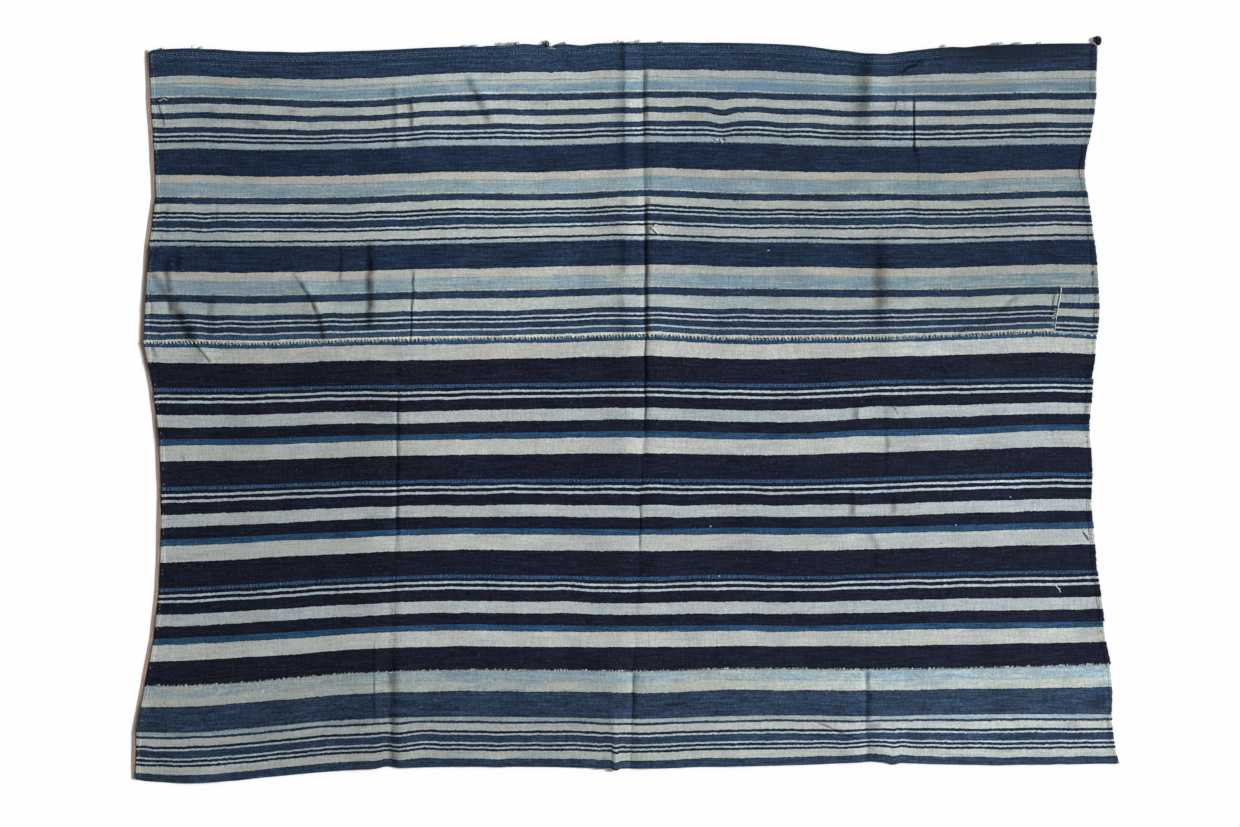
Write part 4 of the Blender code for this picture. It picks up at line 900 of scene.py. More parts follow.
    # Painted shade in the folds and painted highlights beside them, then the turned hems.
    fold = g.math("MULTIPLY", painted_shade, g.span(grain, 0.25, 0.6, 1.12, 0.88))
    colour = g.mix(fold, colour, g.mix(1.0, colour, (0.12, 0.105, 0.09, 1.0), "MULTIPLY"))
    colour = g.mix(painted_highlight, colour, g.mix(1.0, colour, (1.55, 1.60, 1.66, 1.0), "MULTIPLY"))
    hem = g.math("MULTIPLY", g.attribute("hem"), g.span(bar, 0.3, 0.7, 0.25, 0.75))
    colour = g.mix(hem, colour, g.mix(1.0, colour, (1.02, 0.94, 0.80, 1.0), "MULTIPLY"))
    g.put(g.shader.inputs["Base Color"], colour)
    g.shader.inputs["Roughness"].default_value = 0.95
    g.shader.inputs["Specular IOR Level"].default_value = 0.06
    g.shader.inputs["Sheen Weight"].default_value = 0.0

    # Plain weave: warp and weft cross over and under, with uneven yarn.
    warp = g.math("SINE", g.math("ADD", g.math("MULTIPLY", s, 2 * pi / 0.00125), centred(streak, 2.2)))
    weft = g.math("SINE", g.math("ADD", g.math("MULTIPLY", u, 2 * pi / 0.00150), g.math("MULTIPLY", bar, 3.0)))
    height = g.sum(g.math("MULTIPLY", g.math("MULTIPLY", warp, weft), 0.30), g.math("MULTIPLY", streak, 1.2), g.math("MULTIPLY", bar, 1.2), g.math("MULTIPLY", grain, 1.4))
    bump = g.nodes.new("ShaderNodeBump")
    bump.inputs["Strength"].default_value = 0.6
    bump.inputs["Distance"].default_value = 0.0007
    g.put(bump.inputs["Height"], height)
    g.links.new(bump.outputs[0], g.shader.inputs["Normal"])
    return g.mat


def thread_material(name, code, other, rough=0.9):
    """Twisted cotton thread: two tones along its ply, with a little fuzz."""
    g = Graph(name)
    coordinates = g.nodes.new("ShaderNodeTexCoord")
    parts = g.nodes.new("ShaderNodeSeparateXYZ")
    g.links.new(coordinates.outputs["Object"], parts.inputs[0])
    x, y, z = parts.outputs
    ply = g.noise(g.math("MULTIPLY", x, 700.0), g.math("MULTIPLY", y, 700.0), g.math("MULTIPLY", z, 700.0), 2.0, 0.6)
    tone_and_falloff = g.noise(g.math("MULTIPLY", x, 90.0), g.math("MULTIPLY", y, 90.0), g.math("MULTIPLY", z, 90.0), 2.0)
    colour = g.mix(g.span(ply, 0.35, 0.65), linear(code), linear(other))
    colour = g.scale(colour, g.span(tone_and_falloff, 0.3, 0.7, 0.86, 1.10))
    g.put(g.shader.inputs["Base Color"], colour)
    g.shader.inputs["Roughness"].default_value = rough
    g.shader.inputs["Specular IOR Level"].default_value = 0.2
    bump = g.nodes.new("ShaderNodeBump")
    bump.inputs["Strength"].default_value = 0.6
    bump.inputs["Distance"].default_value = 0.0002
    g.put(bump.inputs["Height"], ply)
    g.links.new(bump.outputs[0], g.shader.inputs["Normal"])
    return g.mat


def lines_of(name):
    number = 6 if name == "end_piece" else int(name[-2:])
    return LINES[number - 1], LINES[number]


# ---------------------------------------------------------------- camera, light, floor

HEIGHT = 6.0
WIDE = 1240 * UNIT
camera_data = bpy.data.cameras.new("camera")
camera_data.sensor_width = 36.0
camera_data.lens = 36.0 * HEIGHT / WIDE
camera_data.clip_end = 100.0
camera = bpy.data.objects.new("camera", camera_data)
bpy.context.scene.collection.objects.link(camera)
camera.location = (*world(620.0, 413.5), HEIGHT)
bpy.context.scene.camera = camera

world_data = bpy.data.worlds.new("studio")
world_data.use_nodes = True
world_data.node_tree.nodes["Background"].inputs[0].default_value = (0.97, 0.985, 1.0, 1.0)
world_data.node_tree.nodes["Background"].inputs[1].default_value = 0.32
bpy.context.scene.world = world_data
bpy.context.scene.view_settings.view_transform = "Standard"
bpy.context.scene.view_settings.look = "None"

key_data = bpy.data.lights.new("key", "SUN")
key_data.energy = 4.85
key_data.angle = radians(11)
key_data.color = (1.0, 0.99, 0.97)
key = bpy.data.objects.new("key", key_data)
bpy.context.scene.collection.objects.link(key)
LIGHT_UP, LIGHT_ROUND = radians(27), radians(14)
towards = Vector((cos(LIGHT_UP) * cos(LIGHT_ROUND), cos(LIGHT_UP) * sin(LIGHT_ROUND), sin(LIGHT_UP)))
key.rotation_mode = "QUATERNION"
key.rotation_quaternion = towards.to_track_quat("Z", "Y")

floor_mesh = bpy.data.meshes.new("floor")
floor_mesh.from_pydata([(-20, -20, -0.0003), (20, -20, -0.0003), (20, 20, -0.0003), (-20, 20, -0.0003)], [], [(0, 1, 2, 3)])
floor = bpy.data.objects.new("floor", floor_mesh)
bpy.context.scene.collection.objects.link(floor)
paper = Graph("pale_floor")
paper.shader.inputs["Base Color"].default_value = (0.982, 0.986, 0.994, 1.0)
paper.shader.inputs["Roughness"].default_value = 0.9
paper.shader.inputs["Specular IOR Level"].default_value = 0.1
floor_mesh.materials.append(paper.mat)
floor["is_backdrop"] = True

# ---------------------------------------------------------------- strips

for number, name in enumerate(ENDS):
    upper, lower = lines_of(name)
    mesh, area, wide = strip_sheet(name, upper, lower, seed=number * 1.37 + 0.5)
    piece = bpy.data.objects.new(name + "_cloth", mesh)
    bpy.context.scene.collection.objects.link(piece)
    mesh.materials.append(woven(name, number * 1.37 + 0.5, wide))
    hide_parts(name)
    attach(piece, "root")

# ---------------------------------------------------------------- threads


class Threads:
    """Many short thread tubes gathered in one mesh. A path's points are (x, y, lift) on the
    board, or (x, y, lift, share) where only that share of the cloth's height counts."""

    def __init__(self, sides=5):
        self.paths, self.sides = [], sides

    def tube(self, path, radius, taper=0.55):
        self.paths.append(([(*p, 1.0) if len(p) == 3 else p for p in path], radius, taper))

    def bend(self, start, middle, end, radius, steps=6):
        """A thread bent once, from start through the pull of middle to end."""
        path = []
        for i in range(steps + 1):
            s = i / steps
            w = ((1 - s) ** 2, 2 * s * (1 - s), s * s)
            path.append(tuple(sum(k * p[j] for k, p in zip(w, (start, middle, end))) for j in range(3)))
        self.tube(path, radius)

    def piece(self, name, material, slot):
        flat = np.array([p for path, _, _ in self.paths for p in path], float)
        heights = (rise(flat[:, 0], flat[:, 1]) + CLOTH) * flat[:, 3] + flat[:, 2]
        wx, wy = world(flat[:, 0], flat[:, 1])
        points, faces, k, at = [], [], self.sides, 0
        for path, radius, taper in self.paths:
            spots = [Vector((wx[at + i], wy[at + i], heights[at + i])) for i in range(len(path))]
            at += len(path)
            start, side = len(points), None
            for i, p in enumerate(spots):
                way = (spots[min(i + 1, len(spots) - 1)] - spots[max(i - 1, 0)]).normalized()
                side = way.cross(Vector((0, 0, 1))) if side is None else side - way * side.dot(way)
                side = side.normalized() if side.length > 1e-5 else Vector((1, 0, 0))
                up = side.cross(way).normalized()
                r = radius * (taper if i in (0, len(spots) - 1) else 1.0)
                points += [p + side * (r * cos(2 * pi * j / k)) + up * (r * sin(2 * pi * j / k)) for j in range(k)]
            for i in range(len(spots) - 1):
                for j in range(k):
                    a, b = start + i * k + j, start + i * k + (j + 1) % k
                    faces.append((a, b, b + k, a + k))
            faces.append(tuple(start + j for j in range(k))[::-1])
            last = start + (len(spots) - 1) * k
            faces.append(tuple(last + j for j in range(k)))
        points = [(p.x, p.y, max(p.z, 0.0)) for p in points]
        mesh = bpy.data.meshes.new(name)
        mesh.from_pydata(points, [], faces)
        mesh.validate()
        mesh.shade_smooth()
        mesh.materials.append(material)
        piece = bpy.data.objects.new(name, mesh)
        bpy.context.scene.collection.objects.link(piece)
        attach(piece, "root")
        return piece


PALE = thread_material("pale_thread", "c3c9c6", "a3afb4")
DUSTY = thread_material("dusty_thread", "8596a3", "aab5ba")
DARK = thread_material("dark_thread", "141926", "232c3f")
BLUE = thread_material("blue_thread", "28425f", "1c2f4a")
KNOT = thread_material("knot_thread", "17161f", "2d2b36")
TAUPE = thread_material("taupe_thread", "9c9281", "b3aa9b")
# The brown of the painted shadow beside the left end.
SHADOW_BROWN = thread_material("shadow_brown_thread", "c9ad9b", "ac8e7d")
WHITE = thread_material("white_thread", "d0d5d3", "b6c0c3")
SHADES = {
    "pale": (PALE, "pale_thread"),
    "dusty": (DUSTY, "pale_thread"),
    "taupe": (TAUPE, "pale_thread"),
    "white": (WHITE, "pale_thread"),
    "blue": (BLUE, "thread"),
    "dark": (DARK, "thread"),
}

rng = np.random.default_rng(11)

# Whip stitches: how far apart, how long across and along the seam, and the thread.
WHIP = {
    "seam_1": dict(pitch=4.6, across=1.5, slant=1.2, radius=0.00042, yarn="dusty", keep=0.5),
    "seam_2": dict(pitch=5.0, across=1.3, slant=1.0, radius=0.00040, yarn="blue", keep=0.7),
    "seam_3": dict(pitch=5.2, across=1.3, slant=1.1, radius=0.00040, yarn="dusty", keep=0.4),
    "seam_4": dict(pitch=5.0, across=1.3, slant=1.0, radius=0.00040, yarn="blue", keep=0.7),
    "seam_5": dict(pitch=5.2, across=1.3, slant=1.1, radius=0.00040, yarn="dusty", keep=0.4),
    "seam_7": dict(pitch=4.2, across=1.4, slant=1.0, radius=0.00042, yarn="blue", keep=0.8),
    "seam_8": dict(pitch=4.6, across=1.2, slant=0.9, radius=0.00040, yarn="dark", keep=0.9),
    "seam_9": dict(pitch=4.2, across=1.4, slant=1.0, radius=0.00042, yarn="blue", keep=0.8),
    "seam_10": dict(pitch=4.6, across=1.2, slant=0.9, radius=0.00040, yarn="dark", keep=0.9),
    "seam_11": dict(pitch=4.2, across=1.4, slant=1.0, radius=0.00042, yarn="blue", keep=0.8),
    "seam_12": dict(pitch=4.6, across=1.2, slant=0.9, radius=0.00040, yarn="dark", keep=0.9),
    "seam_13": dict(pitch=3.6, across=1.0, slant=0.8, radius=0.00055, yarn="blue", keep=0.4),
    "seam_14": dict(pitch=5.0, across=1.3, slant=1.0, radius=0.00040, yarn="dusty", keep=0.5),
}

for seam, w in WHIP.items():
    threads = Threads()
    number = int(seam.split("_")[1])
    above, below = f"strip_{number:02d}", f"strip_{number + 1:02d}"
    x = max(ENDS[above]["left"][1], ENDS[below]["left"][0]) + 2
    stop = min(ENDS["end_piece" if number == 6 else above]["right"][1], 1110) - 2
    while x < stop:
        if rng.random() < w["keep"]:
            y = float(seam_y(seam, x))
            half = 0.5 * w["across"] * rng.uniform(0.75, 1.2)
            lean = 0.5 * w["slant"] * rng.uniform(0.6, 1.3)
            path = [(x - lean, y - half, -0.0005), (x - 0.45 * lean, y - 0.5 * half, 0.0001), (x + 0.45 * lean, y + 0.5 * half, 0.0001), (x + lean, y + half, -0.0005)]
            threads.tube(path, w["radius"] * rng.uniform(0.85, 1.15))
        x += w["pitch"] * rng.uniform(0.8, 1.2)
    threads.piece(f"stitches_{seam}", *SHADES[w["yarn"]])

# The rough selvedge on seam 6: a slack pale strand with thick teeth that lap over the blue
# below it, and dark thread showing in the notches between them.
strand, notches = Threads(), Threads()
x = 145.0
while x < 1055.0:
    pitch = 3.3 * rng.uniform(0.7, 1.35)
    y = float(seam_y("seam_6", x))
    reach = 1.1 * rng.uniform(0.5, 1.35)
    lean = rng.uniform(0.2, 1.4)
    strand.tube([(x - 0.5 * pitch, y - 1.7, -0.0002), (x - 0.15 * pitch, y - 1.0, 0.0006), (x + 0.2 * lean, y + 0.35 * reach, 0.0006), (x + 0.6 * lean, y + reach, -0.0001)], 0.00088 * rng.uniform(0.8, 1.2))
    if rng.random() < 0.75:
        deep = rng.uniform(0.2, 0.7)
        middle = x + 0.55 * pitch
        notches.tube([(middle - 0.9, y + 0.9, -0.0003), (middle, y + 0.75 - deep, 0.00015), (middle + 0.8, y + 0.9, -0.0003)], 0.00062 * rng.uniform(0.8, 1.15))
    x += pitch
strand.piece("selvedge_teeth_seam_6", *SHADES["pale"])
notches.piece("selvedge_notches_seam_6", *SHADES["dark"])

# The scalloped selvedge on seam 13, where the weft of the pale strip turns in low arcs.
scallops = Threads()
x = 147.0
while x < 1108.0:
    pitch = 3.7 * rng.uniform(0.7, 1.4)
    bulge = 0.85 * rng.uniform(0.5, 1.3)
    path = []
    for i in range(6):
        s = i / 5
        path.append((x + s * pitch, float(seam_y("seam_13", x + s * pitch)) + 0.75 - bulge * sin(pi * s), 0.0005 * sin(pi * s) - 0.0001))
    scallops.tube(path, 0.00047 * rng.uniform(0.75, 1.2))
    x += pitch * 0.98
scallops.piece("selvedge_scallops_seam_13", *SHADES["pale"])


def end_x(name, side, v):
    upper, lower = ENDS[name][side]
    return upper + v * (lower - upper) + (ENDS[name]["bow"] * sin(pi * v) if side == "right" else 0.0)


# Running stitches that hold the hems, a little inside the two ends.
HEMS = {
    "left": dict(inset=2.7, run=1.9, skip=2.6, keep=0.55, radius=0.00032),
    "right": dict(inset=-3.6, run=1.4, skip=3.0, keep=0.40, radius=0.00042),
}
for side, h in HEMS.items():
    threads = Threads()
    for name in ENDS:
        if (side, name) in (("left", "end_piece"), ("right", "strip_06")):
            continue
        upper, lower = lines_of(name)
        tall = float(seam_y(lower, 620) - seam_y(upper, 620))
        v = 0.03
        while v < 0.96:
            run = h["run"] * rng.uniform(0.7, 1.3) / tall
            if rng.random() < h["keep"]:
                path = []
                for s, lift in ((0, -0.0004), (0.33, 0.00025), (0.67, 0.00025), (1, -0.0004)):
                    w = v + run * s
                    x = end_x(name, side, w) + h["inset"] + 0.2 * rng.uniform(-1, 1)
                    path.append((x, float((1 - w) * seam_y(upper, x) + w * seam_y(lower, x)), HEM - CLOTH + lift))
                threads.tube(path, h["radius"])
            v += run + h["skip"] * rng.uniform(0.6, 1.4) / tall
    threads.piece(f"hem_stitches_{side}", *SHADES["dusty" if side == "left" else "blue"])

# Painted shadow: a thin brown line of tubes lying on the floor beside the left end, where the cloth's edge casts its
# shadow.
SHADOW_LINE = ((-0.7, 0.0010, 0.0010), (-1.8, 0.0009, 0.0009), (-2.9, 0.0007, 0.0007))  # units out, height and radius
shadow_line = Threads(sides=6)
for out, height, radius in SHADOW_LINE:
    path = []
    for name in ENDS:
        if name == "end_piece":
            continue
        upper, lower = lines_of(name)
        for v in (0.0, 0.25, 0.5, 0.75) if name != "strip_15" else (0.0, 0.25, 0.5, 0.75, 0.96):
            x = end_x(name, "left", v)
            y = float((1 - v) * seam_y(upper, x) + v * seam_y(lower, x))
            path.append((x + out + 0.25 * rng.uniform(-1, 1), y, height, 0.0))
    shadow_line.tube(path, radius)
shadow_line.piece("left_shadow_line", SHADOW_BROWN, "thread")

# Single threads that stand out: from (x0, y0) past (xm, ym) to (x1, y1), `lift` metres up.
LOOSE = {
    "tear_hook_top": dict(x0=653.6, y0=228.6, xm=653.8, ym=223.4, x1=658.0, y1=226.2, lift=0.0018, radius=0.0012, yarn="white"),
    "tear_hook_foot": dict(x0=651.0, y0=226.0, xm=654.0, ym=230.0, x1=658.4, y1=234.0, lift=0.0014, radius=0.0012, yarn="white"),
    "speck_c": dict(x0=709.6, y0=526.6, xm=710.4, ym=526.0, x1=711.2, y1=526.4, lift=0.0006, radius=0.0010, yarn="white"),
    "speck_d": dict(x0=718.4, y0=576.2, xm=719.0, ym=575.8, x1=719.6, y1=576.2, lift=0.0006, radius=0.0010, yarn="white"),
    "speck_e": dict(x0=954.8, y0=525.2, xm=955.6, ym=524.8, x1=956.4, y1=525.4, lift=0.0006, radius=0.0009, yarn="white"),
    "speck_f": dict(x0=1009.4, y0=497.0, xm=1010.0, ym=496.8, x1=1010.8, y1=497.2, lift=0.0005, radius=0.0008, yarn="white"),
    "notch_dark": dict(x0=644.8, y0=746.4, xm=646.6, ym=747.8, x1=648.6, y1=748.4, lift=0.0006, radius=0.0008, yarn="dark"),
    "tear_strand": dict(x0=650.4, y0=226.8, xm=652.0, ym=229.6, x1=655.0, y1=229.8, lift=0.0014, radius=0.0008, yarn="white"),
    "fleck": dict(x0=766.6, y0=251.2, xm=768.0, ym=250.3, x1=769.6, y1=250.4, lift=0.0006, radius=0.0007, yarn="pale"),
    "stray_right": dict(x0=1056.4, y0=586.8, xm=1058.0, ym=589.4, x1=1060.4, y1=588.2, lift=0.0006, radius=0.0006, yarn="pale"),
    "stray_c": dict(x0=714.2, y0=138.4, xm=716.2, ym=141.8, x1=718.6, y1=139.2, lift=0.0008, radius=0.0008, yarn="white"),
    "stray_d": dict(x0=720.2, y0=138.6, xm=721.0, ym=142.4, x1=722.8, y1=143.4, lift=0.0008, radius=0.0008, yarn="white"),
    "stray_e": dict(x0=723.4, y0=137.8, xm=724.2, ym=140.0, x1=726.4, y1=141.0, lift=0.0006, radius=0.0007, yarn="dark"),
    "stray_a": dict(x0=719.4, y0=140.4, xm=722.4, ym=142.6, x1=725.4, y1=140.6, lift=0.0006, radius=0.0006, yarn="pale"),
    "stray_b": dict(x0=779.0, y0=142.8, xm=781.4, ym=144.4, x1=783.6, y1=142.6, lift=0.0006, radius=0.0006, yarn="pale"),
    "zigzag_a": dict(x0=158.4, y0=100.0, xm=159.8, ym=102.4, x1=161.8, y1=99.6, lift=0.0007, radius=0.0007, yarn="pale"),
    "zigzag_b": dict(x0=161.8, y0=99.6, xm=164.4, ym=98.0, x1=167.4, y1=100.6, lift=0.0007, radius=0.0007, yarn="pale"),
    "zigzag_c": dict(x0=159.8, y0=98.0, xm=164.6, ym=94.6, x1=169.0, y1=98.0, lift=0.0007, radius=0.0007, yarn="pale"),
    "zigzag_d": dict(x0=169.0, y0=98.0, xm=171.6, ym=96.0, x1=174.6, y1=98.0, lift=0.0006, radius=0.0006, yarn="pale"),
    "zigzag_e": dict(x0=155.6, y0=98.6, xm=159.4, ym=99.8, x1=162.2, y1=97.6, lift=0.0006, radius=0.0008, yarn="dark"),
    "zigzag_f": dict(x0=163.0, y0=97.8, xm=165.6, ym=98.0, x1=168.0, y1=99.4, lift=0.0006, radius=0.0008, yarn="dark"),
    "zigzag_g": dict(x0=160.0, y0=101.4, xm=161.4, ym=102.4, x1=162.4, y1=101.0, lift=0.0006, radius=0.0007, yarn="dark"),
    "dash_a": dict(x0=1082.6, y0=531.6, xm=1086.0, ym=535.0, x1=1088.6, y1=540.4, lift=0.0006, radius=0.0007, yarn="dark"),
    "notch_pale_a": dict(x0=546.4, y0=47.6, xm=550.0, ym=49.2, x1=554.0, y1=48.0, lift=0.0008, radius=0.0007, yarn="taupe"),
    "notch_pale_b": dict(x0=548.4, y0=48.8, xm=551.4, ym=47.2, x1=555.4, y1=49.4, lift=0.0006, radius=0.0006, yarn="pale"),
    "pale_slip": dict(x0=1054.6, y0=584.8, xm=1058.0, ym=587.6, x1=1060.6, y1=592.4, lift=0.0008, radius=0.0008, yarn="white"),
    "dash_b": dict(x0=875.4, y0=388.2, xm=877.0, ym=387.8, x1=878.8, y1=388.4, lift=0.0004, radius=0.0006, yarn="dark"),
    "dash_c": dict(x0=893.6, y0=409.4, xm=895.0, ym=408.8, x1=896.6, y1=409.2, lift=0.0004, radius=0.0006, yarn="dark"),
    "speck_a": dict(x0=546.2, y0=104.0, xm=547.0, ym=104.4, x1=547.8, y1=104.0, lift=0.0004, radius=0.0007, yarn="dark"),
    "speck_b": dict(x0=940.2, y0=543.0, xm=941.0, ym=543.4, x1=941.8, y1=543.0, lift=0.0004, radius=0.0007, yarn="dark"),
    "hem_dark": dict(x0=1092.6, y0=270.6, xm=1093.6, ym=273.0, x1=1092.8, y1=275.6, lift=0.0012, radius=0.0007, yarn="dark"),
    # The short end sewn to strip 6: one pale stitch after another down the slanted join.
    "join_a": dict(x0=1060.6, y0=288.0, xm=1061.0, ym=290.0, x1=1060.0, y1=292.2, lift=0.0006, radius=0.0008, yarn="pale"),
    "join_b": dict(x0=1060.4, y0=294.6, xm=1060.0, ym=296.6, x1=1058.8, y1=298.6, lift=0.0006, radius=0.0008, yarn="pale"),
    "join_c": dict(x0=1059.4, y0=299.0, xm=1058.6, ym=302.6, x1=1057.8, y1=306.0, lift=0.0007, radius=0.0009, yarn="pale"),
    "join_d": dict(x0=1054.2, y0=308.6, xm=1055.6, ym=309.8, x1=1057.4, y1=310.0, lift=0.0006, radius=0.0008, yarn="pale"),
    "join_e": dict(x0=1053.2, y0=314.0, xm=1055.4, ym=312.6, x1=1056.6, y1=314.6, lift=0.0008, radius=0.0008, yarn="pale"),
    "join_f": dict(x0=1056.6, y0=314.6, xm=1056.2, ym=317.8, x1=1053.8, y1=317.4, lift=0.0008, radius=0.0008, yarn="pale"),
    "join_g": dict(x0=1051.6, y0=315.8, xm=1051.6, ym=319.0, x1=1054.2, y1=318.6, lift=0.0008, radius=0.0007, yarn="pale"),
    "join_h": dict(x0=1051.0, y0=324.2, xm=1053.4, ym=326.0, x1=1055.2, y1=324.4, lift=0.0006, radius=0.0007, yarn="pale"),
    "join_i": dict(x0=1050.0, y0=331.6, xm=1052.4, ym=330.0, x1=1054.6, y1=331.8, lift=0.0007, radius=0.0009, yarn="pale"),
    "join_strand_a": dict(x0=1061.0, y0=286.6, xm=1061.2, ym=291.0, x1=1060.0, y1=295.4, lift=0.0004, radius=0.0008, yarn="pale"),
    "join_strand_b": dict(x0=1060.2, y0=294.6, xm=1059.4, ym=299.0, x1=1058.8, y1=303.6, lift=0.0004, radius=0.0009, yarn="white"),
    "join_strand_c": dict(x0=1058.9, y0=302.8, xm=1057.6, ym=307.0, x1=1057.4, y1=311.6, lift=0.0004, radius=0.0009, yarn="white"),
    "join_strand_d": dict(x0=1057.3, y0=311.0, xm=1056.2, ym=315.0, x1=1056.0, y1=320.4, lift=0.0004, radius=0.0007, yarn="pale"),
    "join_strand_e": dict(x0=1055.9, y0=320.0, xm=1055.0, ym=325.0, x1=1054.4, y1=332.2, lift=0.0004, radius=0.0007, yarn="pale"),
    "join_dark_a": dict(x0=1058.6, y0=306.0, xm=1056.6, ym=309.0, x1=1056.4, y1=311.2, lift=0.0006, radius=0.0008, yarn="dark"),
    "join_dark_b": dict(x0=1055.8, y0=319.0, xm=1054.6, ym=320.6, x1=1055.4, y1=322.6, lift=0.0005, radius=0.0007, yarn="dark"),
    # The taupe thread that holds the corner knot.
    "knot_loop": dict(x0=1091.6, y0=44.6, xm=1094.4, ym=41.4, x1=1096.6, y1=47.6, lift=0.0014, radius=0.0009, yarn="taupe"),
    "knot_tail": dict(x0=1096.4, y0=46.6, xm=1096.8, ym=50.0, x1=1096.2, y1=54.0, lift=0.0010, radius=0.0006, yarn="taupe"),
}
kinds = sorted({row["yarn"] for row in LOOSE.values()})
for yarn in kinds:
    threads = Threads(sides=6)
    for row in LOOSE.values():
        if row["yarn"] == yarn:
            high = row["lift"]
            threads.bend((row["x0"], row["y0"], high * 0.2), (row["xm"], row["ym"], high * 1.6), (row["x1"], row["y1"], high * 0.2), row["radius"])
    threads.piece(f"loose_{yarn}", *SHADES[yarn])

# Ends and loops that stand out of the upper edge: where, how far out, how wide and how many.
TUFTS = {
    "a": dict(x=162.0, out=1.6, spread=2.6, count=5, yarn="dark", loops=1.0),
    "b": dict(x=194.0, out=4.0, spread=0.5, count=2, yarn="dusty", loops=0.0),
    "c": dict(x=201.5, out=2.8, spread=1.2, count=3, yarn="dusty", loops=1.0),
    "d": dict(x=464.5, out=1.8, spread=4.2, count=7, yarn="dusty", loops=0.8),
    "e": dict(x=475.0, out=1.9, spread=6.0, count=8, yarn="dusty", loops=0.8),
    "f": dict(x=506.0, out=3.4, spread=20.0, count=26, yarn="pale", loops=0.7),
    "g": dict(x=514.0, out=2.8, spread=14.0, count=16, yarn="dark", loops=0.8),
    "ring_fuzz": dict(x=547.0, out=4.6, spread=4.0, count=9, yarn="dark", loops=1.0),
    "h": dict(x=562.0, out=2.0, spread=3.0, count=5, yarn="dusty", loops=0.6),
    "i": dict(x=564.0, out=2.3, spread=1.8, count=5, yarn="dark", loops=1.0),
    "j": dict(x=617.5, out=2.4, spread=3.2, count=6, yarn="dusty", loops=0.8),
    "k": dict(x=622.5, out=1.5, spread=4.6, count=6, yarn="dark", loops=1.0),
    "l": dict(x=634.0, out=1.5, spread=7.0, count=6, yarn="pale", loops=0.7),
    "m": dict(x=638.2, out=3.0, spread=1.6, count=4, yarn="dusty", loops=0.8),
    "n": dict(x=661.8, out=1.6, spread=2.4, count=5, yarn="pale", loops=0.5),
    "o": dict(x=660.0, out=1.2, spread=2.0, count=4, yarn="dark", loops=1.0),
    "p": dict(x=944.4, out=3.0, spread=1.6, count=4, yarn="dusty", loops=1.0),
    "q": dict(x=997.5, out=2.9, spread=6.0, count=12, yarn="dusty", loops=0.8),
    "r": dict(x=991.0, out=1.2, spread=4.0, count=4, yarn="dusty", loops=0.6),
    "s": dict(x=1017.5, out=2.3, spread=5.0, count=9, yarn="dusty", loops=0.8),
    "t": dict(x=1038.8, out=2.4, spread=1.0, count=3, yarn="dusty", loops=0.5),
}
for yarn in ("pale", "dusty", "dark"):
    threads = Threads(sides=4)
    for tuft in TUFTS.values():
        if tuft["yarn"] != yarn:
            continue
        for _ in range(tuft["count"]):
            x = tuft["x"] + tuft["spread"] * rng.uniform(-0.5, 0.5)
            edge = float(seam_y("top_edge", x) + bulged("top_edge", np.array([float(x)]))[0])
            out = tuft["out"] * rng.uniform(0.55, 1.1)
            lean = rng.uniform(-1.2, 1.2)
            if rng.random() < tuft["loops"]:
                back = x + rng.choice((-1, 1)) * rng.uniform(1.0, 2.6)
                path = [(x, edge + 0.8, 0.0001, 1.0), (x + 0.3 * lean, edge - 0.5 * out, 0.0003, 0.9), (0.5 * (x + back) + lean * 0.5, edge - out, 0.0006, 0.6), (back, edge - 0.45 * out, 0.0003, 0.9), (back, edge + 0.8, 0.0001, 1.0)]
            else:
                path = [(x, edge + 0.8, 0.0001, 1.0), (x + 0.3 * lean, edge - 0.5 * out, 0.0003, 0.9), (x + lean, edge - out, 0.0005, 0.6)]
            threads.tube(path, 0.00034 * rng.uniform(0.75, 1.3))
    threads.piece(f"edge_tufts_{yarn}", *SHADES[yarn])

# Lint: single fibres along the two hems and the upper and lower edges.
lint = Threads(sides=3)
for _ in range(240):
    side = rng.integers(0, 4)
    if side < 2:
        x = rng.uniform(152, 1092)
        edge = ("top_edge", "bottom_edge")[side]
        edge = float(seam_y(edge, x) + bulged(edge, np.array([float(x)]))[0])
        way = (-1, 1)[side]
        lean = rng.uniform(-1.2, 1.2)
        out = rng.uniform(0.5, 1.5)
        path = [(x, edge - way * 0.5, 0.0001, 1.0), (x + 0.5 * lean, edge + way * 0.5 * out, 0.0003, 0.9), (x + lean, edge + way * out, 0.0002, 0.6)]
    else:
        name = f"strip_{rng.integers(1, 16):02d}"
        if name == "strip_06":
            continue
        upper, lower = lines_of(name)
        v = rng.uniform(0.05, 0.95)
        which = ("left", "right")[side - 2]
        way = (-1, 1)[side - 2]
        x = end_x(name, which, v)
        y = float((1 - v) * seam_y(upper, x) + v * seam_y(lower, x))
        lean = rng.uniform(-1.2, 1.2)
        out = rng.uniform(0.4, 1.3)
        path = [(x - way * 0.5, y, 0.0003, 1.0), (x + way * 0.5 * out, y + 0.5 * lean, 0.0004, 0.9), (x + way * out, y + lean, 0.0002, 0.6)]
    lint.tube(path, 0.00016 * rng.uniform(0.8, 1.4))
lint.piece("edge_lint", *SHADES["dusty"])

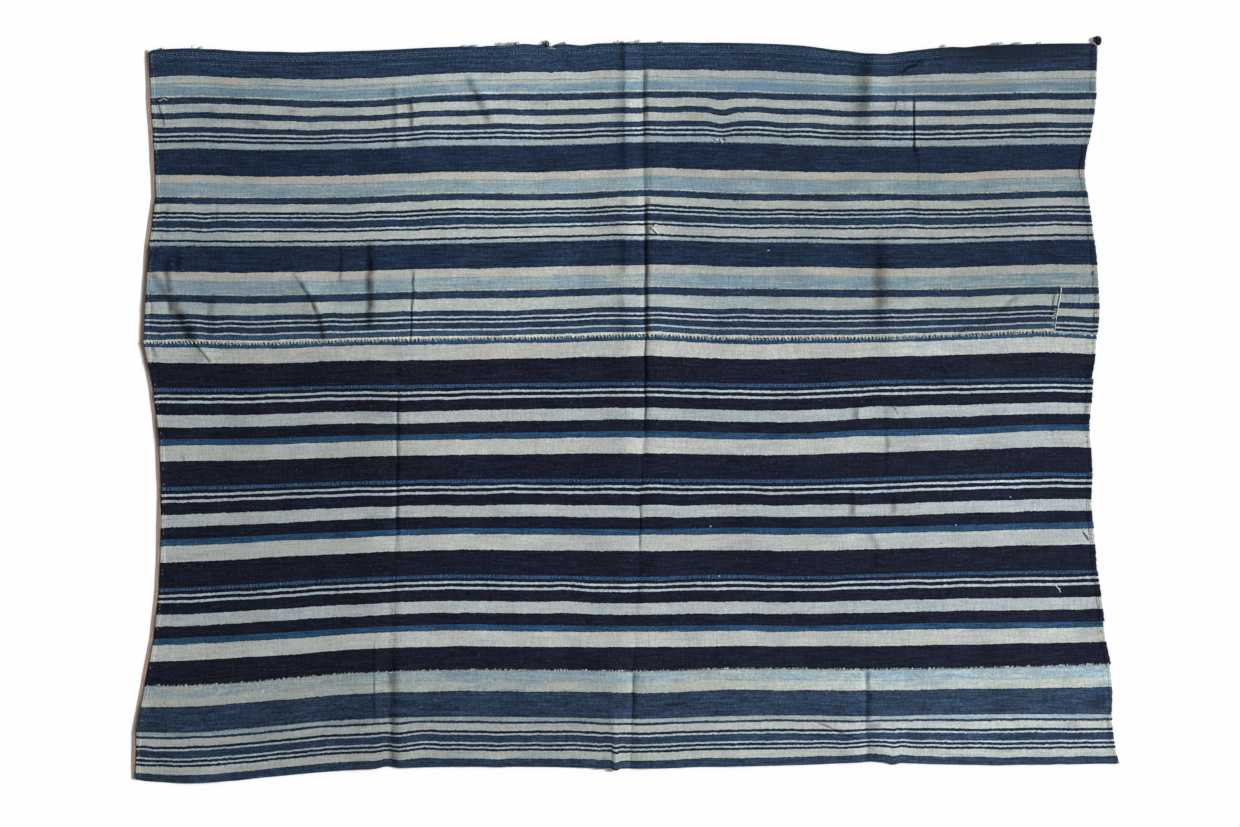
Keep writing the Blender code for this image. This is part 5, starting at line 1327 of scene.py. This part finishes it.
# A ring of thread standing on the upper edge, with its tight knot.
ring = Threads(sides=6)
path = []
for i in range(15):
    a = 2 * pi * i / 14
    path.append((547.4 + 1.5 * cos(a), 43.9 + 1.8 * sin(a), 0.0012 + 0.0004 * sin(3 * a), 0.9))
ring.tube(path, 0.00075, taper=1.0)
ring.tube([(541.5, 45.2, 0.0001), (544.0, 43.7, 0.0006), (545.8, 43.0, 0.0009)], 0.0009)
ring.tube([(544.6, 46.2, 0.0003), (548.0, 46.9, 0.0006), (551.6, 46.6, 0.0003)], 0.0007)
ring.tube([(549.6, 46.6, 0.0002), (554.0, 48.2, 0.0005), (560.0, 47.4, 0.0002)], 0.0006)
ring.piece("edge_ring", *SHADES["dark"])

# ---------------------------------------------------------------- knot at the corner

knot = Threads(sides=8)
body = [(1095.8, 42.8, 0.0023, 0.0), (1094.6, 40.8, 0.0025, 0.0), (1094.6, 38.0, 0.0026, 0.0), (1096.6, 37.4, 0.0027, 0.0), (1099.2, 37.8, 0.0026, 0.0), (1100.2, 39.8, 0.0025, 0.0), (1099.8, 42.2, 0.0024, 0.0), (1099.2, 44.0, 0.0024, 0.0), (1097.6, 44.8, 0.0024, 0.0)]
knot.tube(body, 0.0022, taper=0.7)
knot.tube([(1095.6, 40.6, 0.0024, 0.0), (1097.4, 41.8, 0.0026, 0.0), (1098.6, 43.4, 0.0024, 0.0)], 0.0025, taper=0.8)
knot.tube([(1096.2, 41.6, 0.0034, 0.0), (1097.6, 40.2, 0.0038, 0.0), (1099.4, 40.0, 0.0037, 0.0), (1100.6, 41.6, 0.0028, 0.0)], 0.0015, taper=0.7)
knot.tube([(1096.6, 43.8, 0.0031, 0.0), (1098.2, 43.0, 0.0036, 0.0), (1100.2, 43.0, 0.0032, 0.0)], 0.0014, taper=0.7)
knot.tube([(1095.0, 39.0, 0.0034, 0.0), (1096.8, 38.4, 0.0038, 0.0), (1099.0, 38.8, 0.0036, 0.0)], 0.0012, taper=0.7)
knot = knot.piece("corner_knot_thread", KNOT, "thread")
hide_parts("corner_knot")

# ---------------------------------------------------------------- size

low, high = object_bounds()
